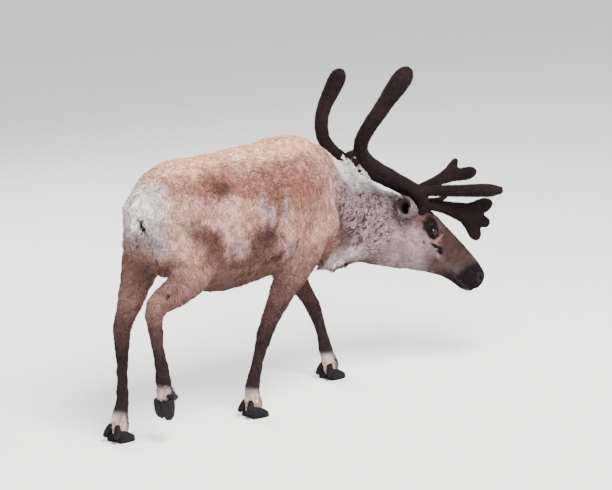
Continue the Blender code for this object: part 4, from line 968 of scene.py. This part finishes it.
def ear_shade_and_rim(points, normals):
    """Painted shade for the ears: on the hollow side of an ear from 0.32 at its mouth up to 1 at its bottom,
    0.96 in a dark ring at the rim, 0 elsewhere.
    """
    spot, facing = to_head(points), normals @ HEAD_AXES
    inner = np.zeros(len(points))
    for side in (1.0, -1.0):
        root, mouth = (np.array([x, y * side, z]) for x, y, z in (EAR_ROOT, EAR_MOUTH))
        way = (mouth - root) / np.linalg.norm(mouth - root)
        along = (spot - root) @ way
        from_axis = spot - root - along[:, None] * way
        hollow = (from_axis * facing).sum(axis=1) < 0
        hollow &= (along > 0.02) & (along < 0.135) & (np.linalg.norm(from_axis, axis=1) < 0.042)
        ear = spot[:, 1] * side > 0.058
        hollow_shade = 0.32 + 0.68 * smooth_step(along, 0.088, 0.055)
        inner = np.where(hollow & ear, hollow_shade, inner)
        rim = ear & (along > 0.118) & (along < 0.14) & (np.linalg.norm(from_axis, axis=1) < 0.05)
        inner = np.where(rim, 0.96, inner)
    return inner


def with_root_values(mesh, tip=0.4):
    """The values that the coat's material reads, for a surface that carries hair in its own relief."""
    points = mesh_points(mesh)
    point_values(mesh, "root_place", points)
    point_values(mesh, "tint", np.full(len(points), 0.5))
    point_values(mesh, "tip", np.full(len(points), tip))
    point_values(mesh, "inner", ear_shade_and_rim(points, mesh_normals(mesh)))


# Coat: a tuft's patch of the unwrap, and the room kept clear over an eye.
TUFT_PATCH = 0.003
EYE_CLEARANCE = 0.0225


class Ground:
    """The triangles that hair grows from, with their corners' places, normals and unwrap."""

    def __init__(self, piece):
        mesh = piece.data
        mesh.calc_loop_triangles()
        count = len(mesh.loop_triangles)
        loops = np.empty(count * 3, dtype=np.int32)
        mesh.loop_triangles.foreach_get("loops", loops)
        uv = np.empty(len(mesh.loops) * 2)
        mesh.uv_layers["OFBake"].data.foreach_get("uv", uv)
        corners = mesh_triangles(mesh)
        self.places = mesh_points(mesh)[corners]
        self.normals = mesh_normals(mesh)[corners]
        self.uvs = uv.reshape(-1, 2)[loops].reshape(-1, 3, 2)
        edge_a = self.places[:, 1] - self.places[:, 0]
        edge_b = self.places[:, 2] - self.places[:, 0]
        self.areas = np.linalg.norm(np.cross(edge_a, edge_b), axis=1) / 2
        self.middles = self.places.mean(axis=1)

    def gather(self, middle, reach, spread, fade, count, rng):
        """Random roots round one place, closest together in its middle."""
        distance = np.linalg.norm(self.middles - middle, axis=1)
        chosen = distance < reach
        density = np.exp(-((distance[chosen] / spread) ** 2) * fade)
        density *= count / (self.areas[chosen] * density).sum()
        return self.scatter(chosen, density, rng)

    def scatter(self, chosen, density, rng):
        """Random roots on the chosen triangles, density being how many stand on a square metre."""
        weight = self.areas[chosen] * density
        total = int(weight.sum())
        picked = np.flatnonzero(chosen)[rng.choice(len(weight), total, p=weight / weight.sum())]
        a, b = rng.random((2, total))
        over = a + b > 1
        a[over], b[over] = 1 - a[over], 1 - b[over]
        share = np.stack([1 - a - b, a, b], axis=1)[:, :, None]
        normals = (self.normals[picked] * share).sum(axis=1)
        normals /= np.linalg.norm(normals, axis=1, keepdims=True)
        return (self.places[picked] * share).sum(axis=1), normals, (self.uvs[picked] * share).sum(axis=1)


# Stations along a tuft: share of its length, of its width and of its lift.
SHORT_TUFT = [(0.0, 0.75, -0.25), (0.5, 1.0, 0.75), (1.0, 0.0, 1.0)]
LONG_LOCK = [(0.0, 0.8, -0.2), (0.25, 1.0, 0.65), (0.55, 0.85, 1.0), (0.82, 0.5, 1.0), (1.0, 0.0, 0.75)]


def add_tufts(name, material, hair, stations, thickness, rng):
    """Closed tapered tufts: two buried corners at the root, three at each station and one at the tip."""
    roots, normals, uvs, ways, lengths, widths, lifts = hair
    count = len(roots)
    side = np.cross(normals, ways)
    rise = lengths * np.sin(lifts)
    bend = rng.normal(0.0, 0.1, count)
    columns, patches, along = [], [], []
    for step, (share, width, lift) in enumerate(stations):
        middle = roots + ways * (lengths * np.cos(lifts) * share)[:, None]
        middle += normals * (rise * lift)[:, None] + side * (lengths * bend * share * share)[:, None]
        half = side * (widths * width / 2)[:, None]
        corners = [(middle - half, -0.5 * width), (middle + half, 0.5 * width)]
        if step == len(stations) - 1:
            corners = [(middle, 0.0)]
        elif step:
            corners.append((middle + normals * (widths * width * thickness)[:, None], 0.0))
        for place, across in corners:
            columns.append(place)
            patches.append(uvs + np.array([across, share - 0.5]) * TUFT_PATCH)
            along.append(np.full(count, share))
    faces = [(0, 2, 4), (0, 4, 1), (1, 4, 3), (0, 1, 3), (0, 3, 2)]
    last = 2
    for _ in range(len(stations) - 3):
        for a, b in ((0, 2), (2, 1), (1, 0)):
            faces += [(last + a, last + 3 + a, last + 3 + b), (last + a, last + 3 + b, last + b)]
        last += 3
    tip = last + 3
    faces += [(last, tip, last + 2), (last + 2, tip, last + 1), (last + 1, tip, last)]
    size = len(columns)
    points = np.stack(columns, axis=1).reshape(-1, 3)
    triangles = (np.arange(count)[:, None, None] * size + np.array(faces)[None]).reshape(-1, 3)
    mesh = triangle_mesh(name, points, triangles)
    layer = mesh.uv_layers.new(name="OFBake")
    uv = np.stack(patches, axis=1).reshape(-1, 2)[triangles.ravel()]
    layer.data.foreach_set("uv", uv.ravel())
    point_values(mesh, "root_place", np.repeat(roots, size, axis=0))
    point_values(mesh, "tint", np.repeat(rng.random(count), size))
    point_values(mesh, "tip", np.stack(along, axis=1).ravel())
    point_values(mesh, "inner", np.repeat(ear_shade_and_rim(roots, normals), size))
    add_piece(name, mesh, material)


def turned(ways, normals, angles):
    """Ways turned about the normals."""
    return ways * np.cos(angles)[:, None] + np.cross(normals, ways) * np.sin(angles)[:, None]


COAT_PIECES = ("back", "flank_right", "flank_left", "rump", "belly", "neck_right", "neck_left", "neck_low",
               "head", "muzzle", "foreleg_right", "foreleg_left", "hindleg_right", "hindleg_left")


def coat_piece_of(ground):
    """Which of the coat's pieces each triangle of the skin belongs to."""
    place = ground.middles - np.array(ORIGIN)
    spot = to_head(ground.middles)
    x, y, z = place.T
    left = y > 0
    where = np.where(left, 2, 1)
    where = np.where(z > 1.02, 0, where)
    where = np.where((z < 0.62) & (x < 0.05), 4, where)
    where = np.where((x < -0.78) & (z > 0.62), 3, where)
    low_leg = (z < 0.66) & (np.abs(y) > 0.055) & (x < -0.62)
    where = np.where(low_leg, np.where(left, 13, 12), where)
    front_leg = (z < 0.58) & (np.abs(y) > 0.045) & (x > -0.62) & (x < 0.24)
    front_leg &= ~((z > 0.535) & (x < -0.26))
    where = np.where(front_leg, np.where(left, 11, 10), where)
    neck = x > 0.06 + 0.35 * (0.62 - z).clip(0)
    neck &= z > 0.5
    neck_left = y > -0.22 * (x - 0.05)
    neck |= spot[:, 0] > -0.05
    where = np.where(neck, np.where(neck_left, 6, 5), where)
    where = np.where(neck & (z < 0.66), 7, where)
    where = np.where(spot[:, 0] > 0.05, 8, where)
    return np.where(spot[:, 0] > 0.33, 9, where)


def clear_of_eyes(points):
    """False for roots that would hang hair over an eye."""
    clear = np.ones(len(points), dtype=bool)
    for side in (1.0, -1.0):
        middle, out, ahead, up = eye_axes(side)
        offset = points - middle
        across = np.hypot(offset @ ahead, 1.35 * (offset @ up))
        clear &= ~((across < EYE_CLEARANCE) & (offset @ out > 0))
    return clear


def lay_short_coat(ground, index, name, material):
    """One piece of the coat: short tufts along the lie, closer and finer on face and feet."""
    settings = setting("coat")
    rng = np.random.default_rng(40 + index)
    chosen = coat_piece_of(ground) == index
    middles, normals = ground.middles[chosen], ground.normals[chosen].mean(axis=1)
    _, length, _, width = coat_lie(middles, normals)
    roots, normals, uvs = ground.scatter(chosen, settings.cover / (length * width), rng)
    keep = clear_of_eyes(roots)
    roots, normals, uvs = roots[keep], normals[keep], uvs[keep]
    ways, length, lift, width = coat_lie(roots, normals)
    swirl = 0.3 * waves(roots, 0.09, 11) + rng.normal(0.0, settings.scatter, len(roots))
    ways = turned(ways, normals, swirl)
    clump = 1.0 + 0.28 * waves(roots, 0.03, 12)
    length = length * clump * rng.uniform(0.7, 1.2, len(roots))
    lift = lift * (1.0 + 0.45 * waves(roots, 0.045, 13)) * rng.uniform(0.6, 1.4, len(roots))
    width = width * rng.uniform(0.7, 1.25, len(roots))
    hair = (roots, normals, uvs, ways, length, width, lift)
    add_tufts(name, material, hair, SHORT_TUFT, settings.thickness, rng)


# Long hair: piece, middle, reach, way, length, lift in degrees, width and how many.
LONG_HAIR = [
    ("throat_fringe", (0.135, -0.01, 0.585), 0.085, (-0.9, 0, -0.45), 0.024, 7, 0.0046, 900),
    ("throat_fringe_front", (0.24, -0.045, 0.55), 0.08, (-0.9, 0.1, -0.4), 0.02, 7, 0.0044, 700),
    ("nape_crest", (0.235, -0.03, 0.945), 0.12, (-0.55, 0.1, 0.9), 0.026, 9, 0.0046, 1000),
    ("poll_crest", (0.4, -0.08, 0.835), 0.06, (-0.8, 0.2, 0.6), 0.024, 9, 0.0042, 400),
    ("tail_tuft", (-0.892, 0, 0.96), 0.042, (-0.15, 0, -1), 0.04, 12, 0.005, 450),
    ("sheath_tuft", (-0.62, 0, 0.615), 0.05, (0.1, 0, -1), 0.03, 30, 0.004, 200),
]


def lay_long_hair(ground, material, name, middle, reach, way, length, lift, width, count):
    """A fringe or crest of longer locks round one place on the skin."""
    rng = np.random.default_rng(len(name) * 7 + count)
    middle = np.array(Vector(middle) + ORIGIN)
    roots, normals, uvs = ground.gather(middle, reach, reach, 1.4, count, rng)
    ways = laid(np.array(Vector(way).normalized()) + rng.normal(0.0, 0.16, roots.shape), normals)
    far = np.linalg.norm(roots - middle, axis=1) / reach
    lengths = length * (1.0 - 0.5 * far) * rng.uniform(0.6, 1.15, len(roots))
    lifts = np.radians(lift) * rng.uniform(0.5, 1.4, len(roots))
    widths = width * rng.uniform(0.6, 1.2, len(roots))
    hair = (roots, normals, uvs, ways, lengths, widths, lifts)
    add_tufts(name, material, hair, LONG_LOCK, setting("coat").thickness, rng)


# Hair over a foot's hooves: reach, how it thins out and how many tufts.
PASTERN_REACH, PASTERN_SPREAD, PASTERN_TUFTS = 0.062, 0.045, 700


def lay_pastern_hair(ground, leg, material):
    """White hair hanging over the crown of the hooves of one foot."""
    rng = np.random.default_rng(90 + LEGS.index(leg))
    dewclaws = [node_centre("dewclaw_" + leg + "_" + word) for word in ("inner", "outer")]
    hooves = hooves_middle(leg)
    above = node_centre("leg_" + leg + "_foot")
    crown = np.array(hooves.lerp(above, 0.38))
    roots, normals, uvs = ground.gather(crown, PASTERN_REACH, PASTERN_SPREAD, 1.0, PASTERN_TUFTS, rng)
    for dewclaw in dewclaws:
        keep = np.linalg.norm(roots - np.array(dewclaw), axis=1) > 0.014
        roots, normals, uvs = roots[keep], normals[keep], uvs[keep]
    down = np.array((hooves - above).normalized())
    ways = laid(down + rng.normal(0.0, 0.14, roots.shape), normals)
    lengths = 0.021 * rng.uniform(0.6, 1.2, len(roots))
    if leg != "hind_right":
        room = (roots[:, 2] - 0.002) / np.maximum(-ways[:, 2], 0.05)
        lengths = np.minimum(lengths, np.maximum(room, 0.004))
    widths = 0.0034 * rng.uniform(0.7, 1.2, len(roots))
    lifts = np.radians(16.0) * rng.uniform(0.6, 1.4, len(roots))
    hair = (roots, normals, uvs, ways, lengths, widths, lifts)
    add_tufts("pastern_hair_" + leg, material, hair, LONG_LOCK, setting("coat").thickness, rng)


EAR_TUFTS_PER_AREA = 90000.0


def lay_ear_hair(ground, side, material):
    """Longer hair inside an ear, along its rim and over its root."""
    word = "right" if side < 0 else "left"
    rng = np.random.default_rng(70 + side)
    low, high = (np.array(corner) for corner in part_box("ear_" + word))
    inside = np.all((ground.middles > low - 0.004) & (ground.middles < high + 0.004), axis=1)
    spot = to_head(ground.middles)
    inside &= spot[:, 1] * side > 0.058
    roots, normals, uvs = ground.scatter(inside, np.full(inside.sum(), EAR_TUFTS_PER_AREA), rng)
    root, mouth = (from_head(np.array([[x, y * side, z]]))[0] for x, y, z in (EAR_ROOT, EAR_MOUTH))
    way = (mouth - root) / np.linalg.norm(mouth - root)
    ways = laid(way + rng.normal(0.0, 0.22, roots.shape), normals)
    lengths = 0.011 * rng.uniform(0.6, 1.3, len(roots))
    widths = 0.0024 * rng.uniform(0.7, 1.2, len(roots))
    lifts = np.radians(15.0) * rng.uniform(0.5, 1.5, len(roots))
    hair = (roots, normals, uvs, ways, lengths, widths, lifts)
    add_tufts("ear_hair_" + word, material, hair, SHORT_TUFT, setting("coat").thickness, rng)


# Operators.
class MakeSkin(bpy.types.Operator):
    """Cover the model's flesh with one skin, with lids, nostrils, lips and ears"""

    bl_idname = "reindeer.make_skin"
    bl_label = "Skin"

    def execute(self, context):
        whole = joined("skin", [build_skin(), ear_skin("right"), ear_skin("left")])
        with_root_values(whole)
        piece = add_piece("skin", whole, coat_material("skin_under_coat", True), flesh_nodes())
        unwrap(piece)
        return {"FINISHED"}


class LayCoat(bpy.types.Operator):
    """Lay the short coat over the skin, piece by piece"""

    bl_idname = "reindeer.lay_coat"
    bl_label = "Short coat"

    def execute(self, context):
        ground = Ground(bpy.data.objects["skin"])
        material = coat_material("coat_hair", False)
        for index, name in enumerate(COAT_PIECES):
            lay_short_coat(ground, index, "coat_" + name, material)
        return {"FINISHED"}


class LayLongHair(bpy.types.Operator):
    """Lay the longer hair: throat fringe, crests, tail, ears and pasterns"""

    bl_idname = "reindeer.lay_long_hair"
    bl_label = "Long hair"

    def execute(self, context):
        ground = Ground(bpy.data.objects["skin"])
        material = bpy.data.materials["coat_hair"]
        for row in LONG_HAIR:
            lay_long_hair(ground, material, *row)
        for leg in LEGS:
            lay_pastern_hair(ground, leg, material)
        for side in (-1, 1):
            lay_ear_hair(ground, side, material)
        return {"FINISHED"}


NAP_WIDTH = 0.0017
NAP_THICKNESS = 0.35


class MakeAntlers(bpy.types.Operator):
    """Make each antler as one velvet-covered form with a soft nap"""

    bl_idname = "reindeer.make_antlers"
    bl_label = "Antlers"

    def execute(self, context):
        settings = setting("velvet")
        material = velvet_material()
        for word, pieces in ANTLERS.items():
            nodes = ["antler_" + word + "_" + piece for piece in pieces]
            mesh = remeshed(merged_nodes(nodes, 0.0004), settings.voxel)
            relaxed(mesh, np.ones(len(mesh.vertices)), 60)
            points, normals = mesh_points(mesh), mesh_normals(mesh)
            lumps = 0.001 * waves(points, 0.06, 21) + 0.0004 * waves(points, 0.018, 22)
            set_mesh_points(mesh, points + normals * (lumps - 0.0012)[:, None])
            whole = joined("velvet_" + word, [mesh])
            with_root_values(whole, tip=0.15)
            piece = add_piece("velvet_antler_" + word, whole, material, nodes)
            unwrap(piece)
            self.lay_nap(piece, word, material)
        return {"FINISHED"}

    def lay_nap(self, piece, word, material):
        settings = setting("velvet")
        ground = Ground(piece)
        rng = np.random.default_rng(60 + len(word))
        density = settings.cover / (settings.nap * NAP_WIDTH)
        chosen = np.ones(len(ground.areas), dtype=bool)
        roots, normals, uvs = ground.scatter(chosen, np.full(len(ground.areas), density), rng)
        ways = laid(rng.normal(size=roots.shape) * 0.5 + np.array([0.0, 0.0, 0.8]), normals)
        lengths = settings.nap * rng.uniform(0.6, 1.2, len(roots))
        widths = NAP_WIDTH * rng.uniform(0.7, 1.2, len(roots))
        lifts = np.radians(rng.uniform(12.0, 38.0, len(roots)))
        hair = (roots, normals, uvs, ways, lengths, widths, lifts)
        add_tufts("velvet_nap_" + word, material, hair, SHORT_TUFT, NAP_THICKNESS, rng)


class MakeHooves(bpy.types.Operator):
    """Make the hooves and dewclaws of each foot in worn horn"""

    bl_idname = "reindeer.make_hooves"
    bl_label = "Hooves"

    def execute(self, context):
        material = horn_material()
        for leg in LEGS:
            nodes = [kind + leg + end for kind in ("hoof_", "dewclaw_") for end in ("_inner", "_outer")]
            meshes = [remeshed(merged_nodes([node], 0.0), setting("horn").voxel) for node in nodes]
            for mesh in meshes:
                relaxed(mesh, np.ones(len(mesh.vertices)), 5)
            whole = joined("hooves_" + leg, meshes)
            point_values(whole, "root_place", mesh_points(whole))
            add_piece("horn_" + leg, whole, material, nodes)
        return {"FINISHED"}


class MakeEyes(bpy.types.Operator):
    """Make both eyes with a raised clear front"""

    bl_idname = "reindeer.make_eyes"
    bl_label = "Eyes"

    def execute(self, context):
        material = eye_material()
        for side, word in ((-1.0, "right"), (1.0, "left")):
            middle, out, ahead, up = eye_axes(side)
            mesh = bpy.data.meshes.new("eyeball_" + word)
            bm = bmesh.new()
            bmesh.ops.create_uvsphere(bm, u_segments=64, v_segments=40, radius=1.0)
            bm.to_mesh(mesh)
            bm.free()
            local = mesh_points(mesh)
            reach = np.hypot(local[:, 0], local[:, 1])
            front = np.where(local[:, 2] > 0, 1.0 - smooth_step(reach, 0.0, 0.75), 0.0)
            size = (EYE_RADIUS - 0.0004) * (1.0 + 0.045 * front)
            points = local * size[:, None]
            set_mesh_points(mesh, middle + points @ np.array([ahead, up, out]))
            mesh.shade_smooth()
            across = local / 0.7
            across[:, 2] = 0.0
            point_values(mesh, "across", across)
            add_piece("eyeball_" + word, mesh, material, ["eye_" + word])
        return {"FINISHED"}


FLOOR_REACH = 60.0

# Area lights: name, place, size, power in watts and colour.
LIGHTS = [
    ("key", (-1, -3.2, 5), 2.6, 1100, (1, 0.97, 0.93)),
    ("fill", (4.2, -3.4, 2.6), 3, 230, (0.93, 0.96, 1)),
    ("back", (0.5, 4.2, 3.6), 3, 340, (1, 1, 1)),
]


class SetStudio(bpy.types.Operator):
    """Set the pale floor, the soft lights and the camera"""

    bl_idname = "reindeer.set_studio"
    bl_label = "Studio"

    def execute(self, context):
        self.lay_floor()
        self.hang_lights()
        self.aim_camera(context.scene)
        return {"FINISHED"}

    def lay_floor(self):
        mesh = bpy.data.meshes.new("studio_floor")
        corners = [(x * FLOOR_REACH, y * FLOOR_REACH, 0.0) for x, y in ((-1, -1), (1, -1), (1, 1), (-1, 1))]
        mesh.from_pydata(corners, [], [(0, 1, 2, 3)])
        mesh.materials.append(floor_material())
        placed("studio_floor", mesh)

    def hang_lights(self):
        world = bpy.data.worlds.new("studio_air")
        bpy.context.scene.world = world
        world.use_nodes = True
        air = world.node_tree.nodes["Background"]
        air.inputs["Color"].default_value = (0.93, 0.96, 1.0, 1.0)
        air.inputs["Strength"].default_value = 1.15
        for name, place, size, power, tone in LIGHTS:
            lamp = bpy.data.lights.new("studio_" + name, "AREA")
            lamp.size, lamp.energy, lamp.color = size, power, tone
            light = placed("studio_" + name, lamp)
            light.location = place
            back = Vector(place) - Vector((0.0, 0.0, 0.8))
            light.rotation_euler = back.to_track_quat("Z", "Y").to_euler()

    def aim_camera(self, scene):
        settings = setting("studio")
        turn, rise = settings.azimuth, settings.elevation
        back = Vector((math.sin(turn) * math.cos(rise), -math.cos(turn) * math.cos(rise), math.sin(rise)))
        right = Vector((math.cos(turn), math.sin(turn), 0.0))
        up = back.cross(right)
        tilt = settings.roll
        across = right * math.cos(tilt) - up * math.sin(tilt)
        above = up * math.cos(tilt) + right * math.sin(tilt)
        data = bpy.data.cameras.new("camera")
        data.sensor_width, data.lens = 36.0, settings.lens
        camera = placed("camera", data)
        rows = Matrix((across, above, back)).transposed().to_4x4()
        target = Vector((0.0, 0.0, 0.635)) + ORIGIN
        camera.matrix_world = Matrix.Translation(target + back * settings.distance) @ rows
        scene.camera = camera


STEPS = (MakeSkin, LayCoat, LayLongHair, MakeAntlers, MakeHooves, MakeEyes, SetStudio)


class ReindeerPanel(bpy.types.Panel):
    """The making steps and their sizes and colours"""

    bl_idname = "VIEW3D_PT_reindeer"
    bl_label = "Reindeer"
    bl_space_type = "VIEW_3D"
    bl_region_type = "UI"
    bl_category = "Reindeer"

    def draw(self, context):
        for step in STEPS:
            self.layout.operator(step.bl_idname)
        for group, kind in SETTINGS.items():
            box = self.layout.box()
            box.label(text=group.capitalize())
            for name in kind.__annotations__:
                box.prop(setting(group), name)


CLASSES = (*SETTINGS.values(), *STEPS, ReindeerPanel)


def register():
    for kind in CLASSES:
        bpy.utils.register_class(kind)
    for group, kind in SETTINGS.items():
        setattr(bpy.types.Scene, "reindeer_" + group, PointerProperty(type=kind))


def unregister():
    for group in SETTINGS:
        delattr(bpy.types.Scene, "reindeer_" + group)
    for kind in reversed(CLASSES):
        bpy.utils.unregister_class(kind)


def main():
    register()
    for step in STEPS:
        area, name = step.bl_idname.split(".")
        getattr(getattr(bpy.ops, area), name)()


if __name__ == "__main__":
    main()
